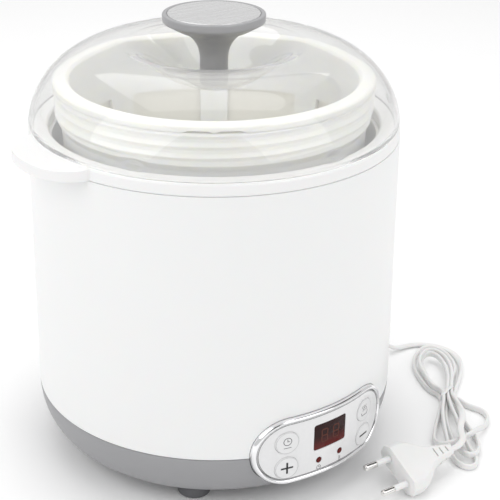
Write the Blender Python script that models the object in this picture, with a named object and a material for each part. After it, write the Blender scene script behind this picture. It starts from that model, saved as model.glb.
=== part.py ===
"""Countertop yogurt maker: a heated tub with a strainer basket under a clear domed lid.

Metres, +Z up, standing on the table plane z = 0. The control panel faces -Y.
The tub's turning axis is a little off the origin, because the origin is the middle
of the outline that the carrying tab and the cord gland give the appliance.
"""

import math

import bmesh
import bpy
from mathutils import Matrix, Vector

# ---- driving dimensions -------------------------------------------------------------------
GAP = 0.0003                 # clearance between pieces that touch
STEPS = 36                   # facets of every turned piece, so that coaxial walls stay parallel

TUB_R = 0.107                # radius of the seam between the lid and the collar
SEAM_Z = 0.2075              # height of that seam over the table
BODY_TOP_R = 0.1091
BODY_FOOT_R = 0.1110         # the white shell widens slightly towards the base
BODY_TOP_Z = 0.2005
BODY_FOOT_Z = 0.0402
SHELL_WALL = 0.0022

BASE_FLAT_R = 0.0887         # edge of the flat underside
BASE_Z = 0.0080              # height of that underside over the table
FOOT_RING_R = 0.083
FOOT_R = 0.0100

LID_CENTRE_R = 0.0578        # the lid's shoulder is a quarter ellipse about this radius
LID_SHOULDER = (0.0511, 0.0476)
LID_SINK = 0.0041            # the ellipse's centre lies this far below the seam
LID_WALL = 0.0022
DIMPLE_R = 0.0556
DIMPLE_FLAT_R = 0.0100
DIMPLE_Z = SEAM_Z + 0.0225

STEM_R = 0.0082
KNOB_R = 0.0297
KNOB_UNDER_Z = SEAM_Z + 0.0567
KNOB_TOP_Z = SEAM_Z + 0.0612
INSERT_R = 0.0267

POT_TOP_Z = SEAM_Z + 0.0211  # rim of the lift-out container
THREAD_R = 0.0930            # crest of the storage lid's thread ridges
THREAD_PITCH = 0.00605
POT_NECK_R = 0.0916
POT_R = 0.0892
POT_WALL = 0.0022
POT_FOOT_R = 0.0800
CHAMBER_R = 0.0950           # inside radius of the heated chamber
CHAMBER_FLOOR_Z = 0.0500
CHAMBER_WALL = 0.0012

BASKET_TOP_Z = SEAM_Z + 0.0257
BASKET_OUT_R = 0.0856
BASKET_IN_R = 0.0834
BASKET_FLOOR_Z = 0.0700
RIBS = 8
RIB_HALF_ANGLE = math.radians(5.6)
WINDOW_ROWS = ((0.0770, 0.1350), (0.1420, 0.2010))

TAB_ANGLE = math.radians(178.0)   # direction of the carrying tab, counted from +X
TAB_HALF_ANGLE = math.radians(17.9)
TAB_REACH = 0.1265

PANEL_Z = 0.0413
PANEL_HALF_WIDTH = 0.0491
PANEL_HALF_HEIGHT = 0.0215
PANEL_R = 0.1136             # the bezel's crest, measured from the tub's axis
FACE_R = 0.1126
BEZEL_WIDTH = 0.0027
KEY_X = 0.0295
KEY_Z = (0.0478, 0.0309)
KEY_R = 0.0072
LAMP_X = 0.0080
LAMP_Z = 0.0296
BOARD_FRONT = 0.0984         # distance of the control board's front from the tub's axis
BOARD_THICK = 0.0016

GLAND_Z = 0.0200
GLAND_TIP = 0.1270           # distance of the gland's tip from the tub's axis
CORD_R = 0.0022

# The outline's middle, to a millimetre: the tab reaches TAB_REACH towards -X and the gland
# GLAND_TIP towards +X, the bezel PANEL_R towards -Y and the base BODY_FOOT_R towards +Y.
AXIS_X = 0.0007
AXIS_Y = (PANEL_R - BODY_FOOT_R) / 2

# ---- scene, materials and helpers ----------------------------------------------------------
for old in list(bpy.data.objects):
    bpy.data.objects.remove(old)


def material(name, colour, roughness, metallic=0.0, alpha=1.0):
    mat = bpy.data.materials.new(name)
    mat.use_nodes = True
    shader = mat.node_tree.nodes["Principled BSDF"]
    shader.inputs["Base Color"].default_value = (*colour, 1.0)
    shader.inputs["Roughness"].default_value = roughness
    shader.inputs["Metallic"].default_value = metallic
    shader.inputs["Alpha"].default_value = alpha
    return mat


WHITE = ((0.86, 0.86, 0.86), 0.35)
CREAM = ((0.84, 0.82, 0.74), 0.45)
GREY = ((0.33, 0.33, 0.34), 0.40)
KNOB_GREY = ((0.30, 0.30, 0.31), 0.35)
RUBBER = ((0.09, 0.09, 0.10), 0.80)
STEEL = ((0.72, 0.72, 0.72), 0.25, 1.0)
CHROME = ((0.85, 0.85, 0.86), 0.08, 1.0)
ALUMINIUM = ((0.70, 0.71, 0.72), 0.35, 1.0)
BOARD_GREEN = ((0.03, 0.16, 0.07), 0.50)
BLACK = ((0.02, 0.02, 0.02), 0.45)
DARK_RED = ((0.06, 0.01, 0.01), 0.08)
CORD_WHITE = ((0.82, 0.82, 0.81), 0.45)

tub = bpy.data.objects.new("tub_axis", None)
bpy.context.collection.objects.link(tub)
tub.location = (AXIS_X, AXIS_Y, 0)


def add(bm, name, finish=None, parent=tub):
    """Make an object of a bmesh, on its parent empty, with a material of its own."""
    bmesh.ops.remove_doubles(bm, verts=bm.verts, dist=1e-6)
    bmesh.ops.recalc_face_normals(bm, faces=bm.faces)
    mesh = bpy.data.meshes.new(name)
    bm.to_mesh(mesh)
    bm.free()
    mesh.shade_smooth()
    mesh.set_sharp_from_angle(angle=math.radians(30))
    piece = bpy.data.objects.new(name, mesh)
    bpy.context.collection.objects.link(piece)
    piece.parent = parent
    if finish:
        mesh.materials.append(material(name, *finish))
    return piece


def cutter(piece):
    piece.hide_render = True
    piece.display_type = "WIRE"
    return piece


def boolean(piece, other, operation="DIFFERENCE"):
    mod = piece.modifiers.new(operation.title(), "BOOLEAN")
    mod.operation = operation
    mod.solver = "EXACT"
    mod.object = cutter(other)
    return piece


def turned_mesh(outline, steps=STEPS):
    """Turn an outline of (radius, height) about Z. Two neighbours on the axis aren't joined."""
    bm = bmesh.new()
    ring = [bm.verts.new((r, 0, z)) for r, z in outline]
    pairs = zip(ring, ring[1:] + ring[:1])
    edges = [bm.edges.new(p) for p in pairs if p[0].co.x > 0 or p[1].co.x > 0]
    bmesh.ops.spin(bm, geom=ring + edges, cent=(0, 0, 0), axis=(0, 0, 1), angle=math.tau,
                   steps=steps, use_merge=True)
    bmesh.ops.remove_doubles(bm, verts=bm.verts, dist=1e-6)
    return bm


def turned(name, outline, finish=None, **kw):
    return add(turned_mesh(outline, **kw), name, finish)


def arc(centre_r, centre_z, radius_r, radius_z, start, end, count):
    """Points of an elliptical arc in the turning plane, angles in degrees."""
    angles = [math.radians(start + (end - start) * i / count) for i in range(count + 1)]
    return [(centre_r + radius_r * math.cos(a), centre_z + radius_z * math.sin(a)) for a in angles]


def inward(points, distance):
    """An outline moved to its left: towards the axis, where the path runs bottom to top."""
    moved = []
    for i, (r, z) in enumerate(points):
        before, after = points[max(i - 1, 0)], points[min(i + 1, len(points) - 1)]
        dr, dz = after[0] - before[0], after[1] - before[1]
        size = math.hypot(dr, dz)
        moved.append((max(r - dz / size * distance, 0), z + dr / size * distance))
    return moved


def prism(points, low, high, axis="Z"):
    """A closed prism on a plane outline: along Z on (x, y), along Y on (x, z)."""
    bm = bmesh.new()
    if axis == "Z":
        face = bm.faces.new([bm.verts.new((x, y, low)) for x, y in points])
        step = Vector((0, 0, high - low))
    else:
        face = bm.faces.new([bm.verts.new((x, low, z)) for x, z in points])
        step = Vector((0, high - low, 0))
    made = bmesh.ops.extrude_face_region(bm, geom=[face], use_keep_orig=True)
    moved = [v for v in made["geom"] if isinstance(v, bmesh.types.BMVert)]
    bmesh.ops.translate(bm, verts=moved, vec=step)
    return bm


def circle(x, y, radius, count=24):
    turns = [math.tau * (i + 0.5) / count for i in range(count)]
    return [(x + radius * math.cos(a), y + radius * math.sin(a)) for a in turns]


def stadium(half_width, half_height, z, count=12):
    reach = half_width - half_height
    right = arc(reach, z, half_height, half_height, -90, 90, count)
    left = arc(-reach, z, half_height, half_height, 90, 270, count)
    return right + left


def rectangle(x0, x1, y0, y1):
    return [(x0, y0), (x1, y0), (x1, y1), (x0, y1)]


def box_mesh(x, y, z):
    return prism(rectangle(*x, *y), *z)


def box(name, x, y, z, finish=None):
    return add(box_mesh(x, y, z), name, finish)


def rounded_box(name, x, y, z, radius, finish):
    bm = box_mesh(x, y, z)
    bmesh.ops.bevel(bm, geom=bm.edges[:], offset=radius, segments=1, profile=0.5, affect="EDGES",
                    material=-1)
    return add(bm, name, finish)


def merge(*parts):
    """Put separate closed meshes into one bmesh, as a group of solids."""
    whole = bmesh.new()
    for part in parts:
        mesh = bpy.data.meshes.new("part")
        part.to_mesh(mesh)
        part.free()
        whole.from_mesh(mesh)
        bpy.data.meshes.remove(mesh)
    return whole


def panel_block(name, inner_r, outer_r, finish=None):
    """A curved block of the tub's wall behind the whole panel, cut to shape afterwards."""
    half = math.asin((PANEL_HALF_WIDTH + 0.004) / inner_r)
    low, high = PANEL_Z - 0.03, PANEL_Z + 0.03
    bm = bmesh.new()
    corners = ((inner_r, low), (outer_r, low), (outer_r, high), (inner_r, high))
    face = bm.faces.new([bm.verts.new((r, 0, z)) for r, z in corners])
    bmesh.ops.rotate(bm, verts=bm.verts, cent=(0, 0, 0),
                     matrix=Matrix.Rotation(-math.pi / 2 - half, 3, "Z"))
    bmesh.ops.spin(bm, geom=[face] + face.edges[:] + face.verts[:], cent=(0, 0, 0),
                   axis=(0, 0, 1), angle=2 * half, steps=22)
    return add(bm, name, finish)


def panel_cutter(name, points):
    return add(prism(points, -0.125, -0.090, axis="Y"), name)


# ---- grey base: a bowl with a rounded shoulder, on four rubber feet ------------------------
shoulder_r = BODY_FOOT_R - BASE_FLAT_R
shoulder_z = BODY_FOOT_Z - GAP - BASE_Z
outside = [(0, BASE_Z)] + arc(BASE_FLAT_R, BASE_Z + shoulder_z, shoulder_r, shoulder_z, -90, 0, 6)
WALL = 0.0025
inside = arc(BASE_FLAT_R, BASE_Z + shoulder_z, shoulder_r - WALL, shoulder_z - WALL, 0, -90, 6)
LIP_IN_R = BODY_FOOT_R - SHELL_WALL - 0.0025
LIP_OUT_R = BODY_FOOT_R - SHELL_WALL - 0.0005
lip = [(LIP_OUT_R, BODY_FOOT_Z - GAP), (LIP_OUT_R, BODY_FOOT_Z + 0.005),
       (LIP_IN_R, BODY_FOOT_Z + 0.005), (LIP_IN_R, BODY_FOOT_Z - 0.003)]
base = turned("base_shell", outside + lip + inside[2:] + [(0, BASE_Z + WALL)], GREY)

feet_at = [math.radians(45 + 90 * i) for i in range(4)]
FOOT_STUD_R = 0.0024
holes = merge(*[prism(circle(FOOT_RING_R * math.cos(a), FOOT_RING_R * math.sin(a),
                             FOOT_STUD_R + GAP, 12), BASE_Z - 0.002, BASE_Z + 0.005)
                for a in feet_at])
boolean(base, add(holes, "cut_foot_holes"))
for number, angle in enumerate(feet_at, 1):
    foot_outline = [(0, 0), (FOOT_R - 0.0012, 0), (FOOT_R, 0.0012), (FOOT_R, BASE_Z - GAP),
                    (FOOT_STUD_R, BASE_Z - GAP), (FOOT_STUD_R, BASE_Z + WALL + 0.0015),
                    (0, BASE_Z + WALL + 0.0015)]
    foot = turned(f"foot_{number}", foot_outline, RUBBER, steps=20)
    foot.location = (FOOT_RING_R * math.cos(angle), FOOT_RING_R * math.sin(angle), 0)

SCREW_RING_R = 0.068
SCREW_R = 0.0017
SCREW_HEAD_R = 0.0034
screws_at = [math.radians(90 * i) for i in range(4)]
screw_holes = []
for number, angle in enumerate(screws_at, 1):
    x, y = SCREW_RING_R * math.cos(angle), SCREW_RING_R * math.sin(angle)
    screw_holes.append(prism(circle(x, y, SCREW_R + 0.0004, 12), BASE_Z - 0.002, BASE_Z + 0.005))
    screw = turned(f"base_screw_{number}", [
        (0, BASE_Z - 0.0022), (SCREW_HEAD_R - 0.0008, BASE_Z - 0.0022), (SCREW_HEAD_R, BASE_Z - GAP),
        (SCREW_R, BASE_Z - GAP), (SCREW_R, BASE_Z + 0.013), (0, BASE_Z + 0.013)], STEEL, steps=12)
    screw.location = (x, y, 0)
boolean(base, add(merge(*screw_holes), "cut_screw_holes"))

# ---- white outer shell, and the collar with the carrying tab -------------------------------
shell = turned("outer_shell", [
    (BODY_FOOT_R, BODY_FOOT_Z), (BODY_TOP_R, BODY_TOP_Z - GAP),
    (BODY_TOP_R - SHELL_WALL, BODY_TOP_Z - GAP), (BODY_FOOT_R - SHELL_WALL, BODY_FOOT_Z)], WHITE)

COLLAR_IN_R = 0.0968
COLLAR_SKIRT_R = BODY_TOP_R - SHELL_WALL - 0.0005
collar = turned("rim_collar", [
    (COLLAR_IN_R, BODY_TOP_Z), (COLLAR_SKIRT_R - 0.002, BODY_TOP_Z),
    (COLLAR_SKIRT_R - 0.002, BODY_TOP_Z - 0.008), (COLLAR_SKIRT_R, BODY_TOP_Z - 0.008),
    (COLLAR_SKIRT_R, BODY_TOP_Z), (BODY_TOP_R, BODY_TOP_Z), (BODY_TOP_R - 0.0006, SEAM_Z - 0.0012),
    (BODY_TOP_R - 0.0020, SEAM_Z - GAP), (COLLAR_IN_R + 0.0008, SEAM_Z - GAP),
    (COLLAR_IN_R, SEAM_Z - 0.001)], WHITE)

TAB_ROOT_R = 0.1040
TAB_SQUARENESS, TAB_FULLNESS = 2.78, 0.78
tab_outline = []
for i in range(17):
    share = -1 + i / 8
    angle = TAB_ANGLE + share * TAB_HALF_ANGLE
    bulge = (1 - abs(share) ** TAB_SQUARENESS) ** TAB_FULLNESS
    reach = BODY_TOP_R - 0.0006 + (TAB_REACH - BODY_TOP_R + 0.0006) * bulge
    tab_outline.append((reach * math.cos(angle), reach * math.sin(angle)))
for i in range(9):
    angle = TAB_ANGLE + (1 - i / 4) * TAB_HALF_ANGLE
    tab_outline.append((TAB_ROOT_R * math.cos(angle), TAB_ROOT_R * math.sin(angle)))
TAB_TOP_DROP = 0.0006
tab = add(prism(tab_outline, BODY_TOP_Z + 0.0002, SEAM_Z - TAB_TOP_DROP), "join_tab")
boolean(collar, tab, "UNION")

# ---- heated chamber with its heater, sensor and fuse ---------------------------------------
CHAMBER_OUT_R = CHAMBER_R + CHAMBER_WALL
CHAMBER_LIP_R = 0.1035       # the chamber hangs from this lip under the collar
chamber_rim_z = BODY_TOP_Z - GAP
chamber = turned("heating_chamber", [
    (0, CHAMBER_FLOOR_Z), (CHAMBER_OUT_R - 0.005, CHAMBER_FLOOR_Z),
    (CHAMBER_OUT_R, CHAMBER_FLOOR_Z + 0.005), (CHAMBER_OUT_R, chamber_rim_z - CHAMBER_WALL),
    (CHAMBER_LIP_R, chamber_rim_z - CHAMBER_WALL), (CHAMBER_LIP_R, chamber_rim_z),
    (CHAMBER_R, chamber_rim_z),
    (CHAMBER_R, CHAMBER_FLOOR_Z + 0.0055), (CHAMBER_R - 0.0045, CHAMBER_FLOOR_Z + CHAMBER_WALL),
    (0, CHAMBER_FLOOR_Z + CHAMBER_WALL)], ALUMINIUM)

HEATER_TOP = CHAMBER_FLOOR_Z - GAP
HEATER_THICK = 0.0027
HEATER_R = (0.012, 0.062)
SENSOR_R = 0.0045
SENSOR_LONG = 0.009
turned("heating_plate", [(HEATER_R[0], HEATER_TOP - HEATER_THICK), (HEATER_R[1], HEATER_TOP - HEATER_THICK),
                         (HEATER_R[1], HEATER_TOP), (HEATER_R[0], HEATER_TOP)], ALUMINIUM)
turned("temperature_sensor", [(0, HEATER_TOP - SENSOR_LONG), (SENSOR_R, HEATER_TOP - SENSOR_LONG),
                              (SENSOR_R, HEATER_TOP), (0, HEATER_TOP)], STEEL, steps=16)
fuse_top = HEATER_TOP - HEATER_THICK - GAP
rounded_box("thermal_fuse", (0.022, 0.046), (0.030, 0.036), (fuse_top - 0.005, fuse_top), 0.0012,
            CREAM)

# ---- power board on the base floor ----------------------------------------------------------
POST_TOP = 0.0190
posts = merge(*[prism(circle(x, y + 0.012, 0.003, 10), BASE_Z + 0.0015, POST_TOP)
                for x in (-0.030, 0.030) for y in (-0.020, 0.020)])
boolean(base, add(posts, "join_posts"), "UNION")
board_z = (POST_TOP + GAP, POST_TOP + GAP + BOARD_THICK)
box("power_board", (-0.036, 0.036), (-0.014, 0.038), board_z, BOARD_GREEN)
on_board = board_z[1] + GAP
rounded_box("transformer", (-0.031, -0.005), (-0.008, 0.018), (on_board, 0.0425), 0.001, BLACK)
rounded_box("relay", (0.004, 0.023), (-0.008, 0.007), (on_board, 0.0365), 0.0008, BLACK)
rounded_box("terminal_block", (0.020, 0.034), (0.012, 0.032), (on_board, 0.0330), 0.0008, CREAM)

# ---- control panel: a curved stadium on the front, pushed through shell and base ------------
outer_stadium = stadium(PANEL_HALF_WIDTH, PANEL_HALF_HEIGHT, PANEL_Z)
inner_stadium = stadium(PANEL_HALF_WIDTH - BEZEL_WIDTH, PANEL_HALF_HEIGHT - BEZEL_WIDTH, PANEL_Z)
opening = stadium(PANEL_HALF_WIDTH + GAP, PANEL_HALF_HEIGHT + GAP, PANEL_Z)
boolean(shell, panel_cutter("cut_panel_shell", opening))
boolean(base, panel_cutter("cut_panel_base", opening))

BEZEL_BACK_R = 0.1040
bezel = panel_block("panel_bezel", BEZEL_BACK_R, PANEL_R, CHROME)
boolean(bezel, panel_cutter("keep_bezel", outer_stadium), "INTERSECT")
boolean(bezel, panel_cutter("cut_bezel", inner_stadium))

FACE_INNER_R = 0.1102
face = panel_block("panel_face", FACE_INNER_R, FACE_R, WHITE)
face_stadium = stadium(PANEL_HALF_WIDTH - BEZEL_WIDTH - GAP,
                       PANEL_HALF_HEIGHT - BEZEL_WIDTH - GAP, PANEL_Z)
boolean(face, panel_cutter("keep_face", face_stadium), "INTERSECT")
WINDOW_HALF = (0.01175, 0.0083)
WINDOW_Z = 0.0453
WINDOW_CORNER = 0.0012
LAMP_R = 0.0018


def rounded_rectangle(half_x, half_z, z, radius):
    corners = ((1, -1, -90), (1, 1, 0), (-1, 1, 90), (-1, -1, 180))
    points = []
    for sx, sz, start in corners:
        points += arc(sx * (half_x - radius), z + sz * (half_z - radius), radius, radius,
                      start, start + 90, 2)
    return points


keys_at = {"set": (-KEY_X, KEY_Z[0]), "plus": (-KEY_X, KEY_Z[1]),
           "heat": (KEY_X, KEY_Z[0]), "minus": (KEY_X, KEY_Z[1])}
face_holes = [rounded_rectangle(WINDOW_HALF[0] + GAP, WINDOW_HALF[1] + GAP, WINDOW_Z,
                                WINDOW_CORNER + GAP)]
face_holes += [circle(x, z, KEY_R + 0.0004, 20) for x, z in keys_at.values()]
face_holes += [circle(x, LAMP_Z, LAMP_R + GAP, 12) for x in (-LAMP_X, LAMP_X)]
hole_prisms = [prism(points, -0.125, -0.090, axis="Y") for points in face_holes]
boolean(face, add(merge(*hole_prisms), "cut_face_holes"))

WINDOW_BACK_R = 0.1108
window = panel_block("display_window", WINDOW_BACK_R, FACE_R, DARK_RED)
window_outline = rounded_rectangle(*WINDOW_HALF, WINDOW_Z, WINDOW_CORNER)
boolean(window, panel_cutter("keep_window", window_outline), "INTERSECT")

MODULE_FRONT = 0.1092
MODULE_HALF = (0.0122, 0.0080)
BOARD_HALF = (0.0335, 0.0170)
box("display_module", (-MODULE_HALF[0], MODULE_HALF[0]), (-MODULE_FRONT, -BOARD_FRONT - GAP),
    (WINDOW_Z - MODULE_HALF[1], WINDOW_Z + MODULE_HALF[1]), BLACK)
box("control_board", (-BOARD_HALF[0], BOARD_HALF[0]), (-BOARD_FRONT, -BOARD_FRONT + BOARD_THICK),
    (PANEL_Z - BOARD_HALF[1], PANEL_Z + BOARD_HALF[1]), BOARD_GREEN)

for x, label in ((-LAMP_X, "time"), (LAMP_X, "temp")):
    lamp = panel_block(f"lamp_lens_{label}", BOARD_FRONT + 0.0008, FACE_R + GAP, DARK_RED)
    lamp_outline = circle(x, LAMP_Z, LAMP_R, 12)
    boolean(lamp, panel_cutter(f"keep_lamp_{label}", lamp_outline), "INTERSECT")

SWITCH_FRONT = BOARD_FRONT + 0.0026
SWITCH_GAP = 0.0011          # room for a key's travel before its switch
SWITCH_HALF = 0.003
for key, (x, z) in keys_at.items():
    box(f"switch_{key}", (x - SWITCH_HALF, x + SWITCH_HALF), (-SWITCH_FRONT, -BOARD_FRONT - GAP),
        (z - SWITCH_HALF, z + SWITCH_HALF), BLACK)

KEY_PROUD = 0.0006
CAP_BACK_R = 0.1085          # the cap's back and its flange's back, measured from the tub's axis
FLANGE_BACK_R = 0.1080
FLANGE_R = 0.0079
PEG_R = 0.0025
PEG_SINK = 0.0004            # how far the peg's root lies inside the cap
for key, (x, z) in keys_at.items():
    cap = panel_block(f"button_{key}", CAP_BACK_R, FACE_R + KEY_PROUD, WHITE)
    cap_outline = circle(x, z, KEY_R, 20)
    boolean(cap, panel_cutter(f"keep_cap_{key}", cap_outline), "INTERSECT")
    flange = panel_block(f"join_flange_{key}", FLANGE_BACK_R, FACE_INNER_R - GAP)
    flange_outline = circle(x, z, FLANGE_R, 20)
    boolean(flange, panel_cutter(f"keep_flange_{key}", flange_outline), "INTERSECT")
    boolean(cap, flange, "UNION")
    peg_back = SWITCH_FRONT + SWITCH_GAP
    peg_front = math.sqrt(CAP_BACK_R ** 2 - x * x) + PEG_SINK
    peg = prism(circle(x, z, PEG_R, 12), -peg_front, -peg_back, axis="Y")
    boolean(cap, add(peg, f"join_peg_{key}"), "UNION")

# ---- lift-out container with its screw neck --------------------------------------------------
pot_floor = CHAMBER_FLOOR_Z + CHAMBER_WALL + GAP
THREAD_DEPTH = THREAD_R - POT_NECK_R
neck = []
for i in range(3):
    low = POT_TOP_Z - (3 - i) * THREAD_PITCH
    neck += [(POT_NECK_R, low), (THREAD_R, low + THREAD_DEPTH / 2),
             (THREAD_R, low + THREAD_PITCH - THREAD_DEPTH / 2)]
neck_foot_z = POT_TOP_Z - 3 * THREAD_PITCH
pot_outside = ([(0, pot_floor)] + arc(POT_FOOT_R, pot_floor + 0.006, 0.006, 0.006, -90, 0, 4)
               + [(POT_R, neck_foot_z - 0.004)] + neck + [(THREAD_R - 0.001, POT_TOP_Z)])
pot_inside = ([(POT_R - POT_WALL, POT_TOP_Z), (POT_R - POT_WALL, neck_foot_z - 0.006)]
              + arc(POT_FOOT_R, pot_floor + 0.006, 0.006 - POT_WALL, 0.006 - POT_WALL, 0, -90, 4)
              + [(0, pot_floor + POT_WALL)])
turned("inner_container", pot_outside + pot_inside, CREAM)

# ---- strainer basket hung on the container's rim, with its mesh ------------------------------
flange_z = POT_TOP_Z + GAP
basket = turned("strainer_basket", [
    (0, BASKET_FLOOR_Z), (BASKET_OUT_R - 0.010, BASKET_FLOOR_Z),
    (BASKET_OUT_R - 0.0080, BASKET_FLOOR_Z + 0.002), (BASKET_OUT_R, flange_z),
    (THREAD_R, flange_z), (THREAD_R, BASKET_TOP_Z - 0.0016), (THREAD_R - 0.0014, BASKET_TOP_Z),
    (BASKET_IN_R + 0.0018, BASKET_TOP_Z), (BASKET_IN_R, BASKET_TOP_Z - 0.0015),
    (BASKET_IN_R - 0.0080, BASKET_FLOOR_Z + 0.0038), (0, BASKET_FLOOR_Z + 0.0022)], CREAM)

WINDOW_CHORD = 2 * 0.080 * math.sin(math.pi / RIBS - RIB_HALF_ANGLE)
WINDOW_TURN = math.radians(30.7)    # the first window's middle, so that a rib points to 53.2
window_cuts = []
for low, high in WINDOW_ROWS:
    for i in range(RIBS):
        slot = box_mesh((0.066, 0.096), (-WINDOW_CHORD / 2, WINDOW_CHORD / 2), (low, high))
        turn = Matrix.Rotation(WINDOW_TURN + math.tau * i / RIBS, 3, "Z")
        bmesh.ops.rotate(slot, verts=slot.verts, cent=(0, 0, 0), matrix=turn)
        window_cuts.append(slot)
boolean(basket, add(merge(*window_cuts), "cut_basket_windows"))
FLOOR_HOLE_R = 0.0130
floor_cuts = [prism(circle(0.048 * math.cos(a), 0.048 * math.sin(a), FLOOR_HOLE_R, 12),
                    BASKET_FLOOR_Z - 0.002, BASKET_FLOOR_Z + 0.006)
              for a in [math.tau * i / RIBS for i in range(RIBS)]]
boolean(basket, add(merge(*floor_cuts), "cut_basket_floor"))

MESH_WALL = 0.0006
mesh_path = [(BASKET_OUT_R - 0.0092, BASKET_FLOOR_Z - GAP - MESH_WALL),
             (BASKET_OUT_R - 0.0067, BASKET_FLOOR_Z + 0.0018),
             (BASKET_OUT_R + 0.0002, 0.2030)]
turned("strainer_mesh", [(0, mesh_path[0][1])] + mesh_path
       + [(r - MESH_WALL, z) for r, z in reversed(mesh_path[1:])]
       + [(mesh_path[0][0] - MESH_WALL, BASKET_FLOOR_Z - GAP), (0, BASKET_FLOOR_Z - GAP)],
       ((0.83, 0.80, 0.70), 0.60))

# ---- clear domed lid with its knob -----------------------------------------------------------
start = math.degrees(math.asin((LID_SINK + 0.0022) / LID_SHOULDER[1]))
dome = arc(LID_CENTRE_R, SEAM_Z - LID_SINK, *LID_SHOULDER, start, 90, 9)
crest_z = SEAM_Z - LID_SINK + LID_SHOULDER[1]
dimple = []
for i in range(1, 8):
    share = i / 7
    r = DIMPLE_R + (DIMPLE_FLAT_R - DIMPLE_R) * share
    dimple.append((r, crest_z + (DIMPLE_Z - crest_z) * (1 - math.cos(math.pi * share)) / 2))
SCREW_HOLE_R = 0.0026
lid_outside = [(TUB_R - 0.0002, SEAM_Z)] + dome + dimple + [(SCREW_HOLE_R, DIMPLE_Z)]
lid_inside = inward(lid_outside[1:], LID_WALL)
lid_inside[-1] = (SCREW_HOLE_R, DIMPLE_Z - LID_WALL)
lid_outline = lid_outside + lid_inside[::-1] + [(TUB_R - 0.0032, SEAM_Z)]
turned("dome_lid", lid_outline, ((0.95, 0.95, 0.95), 0.03, 0.0, 0.35))

FLARE_R = 0.0175
knob_under = arc(STEM_R + FLARE_R, DIMPLE_Z + 0.0125, FLARE_R, FLARE_R, 180, 105, 6)
BORE_R = 0.0024
BORE_TOP = DIMPLE_Z + 0.021
RECESS = 0.0008
knob = turned("lid_knob", [
    (BORE_R, DIMPLE_Z + GAP), (STEM_R, DIMPLE_Z + GAP)] + knob_under + [
    (KNOB_R - 0.0010, KNOB_UNDER_Z), (KNOB_R, KNOB_UNDER_Z + 0.0010),
    (KNOB_R, KNOB_TOP_Z - 0.0010), (KNOB_R - 0.0010, KNOB_TOP_Z), (INSERT_R + GAP, KNOB_TOP_Z),
    (INSERT_R + GAP, KNOB_TOP_Z - RECESS), (0, KNOB_TOP_Z - RECESS), (0, BORE_TOP),
    (BORE_R, BORE_TOP)], KNOB_GREY)
insert_z = KNOB_TOP_Z - RECESS + GAP
turned("knob_insert", [(0, insert_z), (INSERT_R, insert_z), (INSERT_R, KNOB_TOP_Z - 0.0002),
                       (INSERT_R - 0.0003, KNOB_TOP_Z), (0, KNOB_TOP_Z)], STEEL)
washer_top = DIMPLE_Z - LID_WALL - GAP
turned("knob_washer", [(BORE_R, washer_top - 0.0010), (0.0070, washer_top - 0.0010),
                       (0.0070, washer_top), (BORE_R, washer_top)], RUBBER, steps=24)
head_top = washer_top - 0.0010 - GAP
turned("knob_screw", [(0, head_top - 0.0022), (0.0030, head_top - 0.0022), (0.0040, head_top),
                      (0.0019, head_top), (0.0019, BORE_TOP - 0.003), (0, BORE_TOP - 0.003)],
       STEEL, steps=16)

# ---- mains cord: gland, lead, tied hank, tail and plug ---------------------------------------
GLAND_ROOT = 0.0975
GLAND_R = 0.0056
gland_long = GLAND_TIP - GLAND_ROOT
gland_bm = turned_mesh([(0, 0), (GLAND_R, 0), (GLAND_R, 0.0085), (0.0050, 0.0105),
                        (0.0032, gland_long), (0, gland_long)], steps=16)
bmesh.ops.rotate(gland_bm, verts=gland_bm.verts, cent=(0, 0, 0),
                 matrix=Matrix.Rotation(math.pi / 2, 3, "Y"))
bmesh.ops.translate(gland_bm, verts=gland_bm.verts, vec=(GLAND_ROOT, 0, GLAND_Z))
add(gland_bm, "cord_gland", WHITE)
gland_hole = prism(circle(0, 0, GLAND_R + 0.0004, 18), 0.088, 0.118)
bmesh.ops.rotate(gland_hole, verts=gland_hole.verts, cent=(0, 0, 0),
                 matrix=Matrix.Rotation(math.pi / 2, 3, "Y"))
bmesh.ops.translate(gland_hole, verts=gland_hole.verts, vec=(0, 0, GLAND_Z))
boolean(base, add(gland_hole, "cut_gland_hole"))


def smooth_line(route, spacing):
    """Even points on a Catmull-Rom curve through the route's own points."""
    points = [Vector(p) for p in route]
    ends = [2 * points[0] - points[1]] + points + [2 * points[-1] - points[-2]]
    fine = []
    for a, b, c, d in zip(ends, ends[1:], ends[2:], ends[3:]):
        for i in range(20):
            t = i / 20
            fine.append(0.5 * (2 * b + (c - a) * t + (2 * a - 5 * b + 4 * c - d) * t * t
                               + (3 * b - a - 3 * c + d) * t * t * t))
    fine.append(points[-1])
    total = sum((q - p).length for p, q in zip(fine, fine[1:]))
    count = max(2, round(total / spacing))
    even, walked, target = [fine[0]], 0.0, total / count
    for p, q in zip(fine, fine[1:]):
        step = (q - p).length
        while walked + step >= target and len(even) < count:
            even.append(p.lerp(q, (target - walked) / step))
            target += total / count
        walked += step
    return even + [fine[-1]]


def cord(name, route):
    line = smooth_line(route, 2.4 * 2 * CORD_R)
    curve = bpy.data.curves.new(name, "CURVE")
    curve.dimensions = "3D"
    curve.bevel_depth = CORD_R
    curve.bevel_resolution = 2
    curve.use_fill_caps = True
    spline = curve.splines.new("POLY")
    spline.points.add(len(line) - 1)
    for point, place in zip(spline.points, line):
        point.co = (*place, 1)
    curve.materials.append(material(name, *CORD_WHITE))
    piece = bpy.data.objects.new(name, curve)
    bpy.context.collection.objects.link(piece)
    piece.parent = tub


LEAD_ROUTE = [(GLAND_TIP + GAP, 0, GLAND_Z), (0.1350, -0.0001, 0.0199), (0.1400, -0.0012, 0.0182),
              (0.1440, -0.0035, 0.0138), (0.1482, -0.0063, 0.0084), (0.1535, -0.0092, 0.0045),
              (0.1610, -0.0125, 0.0027), (0.1720, -0.0185, 0.0025), (0.1800, -0.0285, 0.0025),
              (0.1825, -0.0405, 0.0034), (0.1775, -0.0505, 0.0050)]
cord("cord_lead", LEAD_ROUTE)

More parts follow.
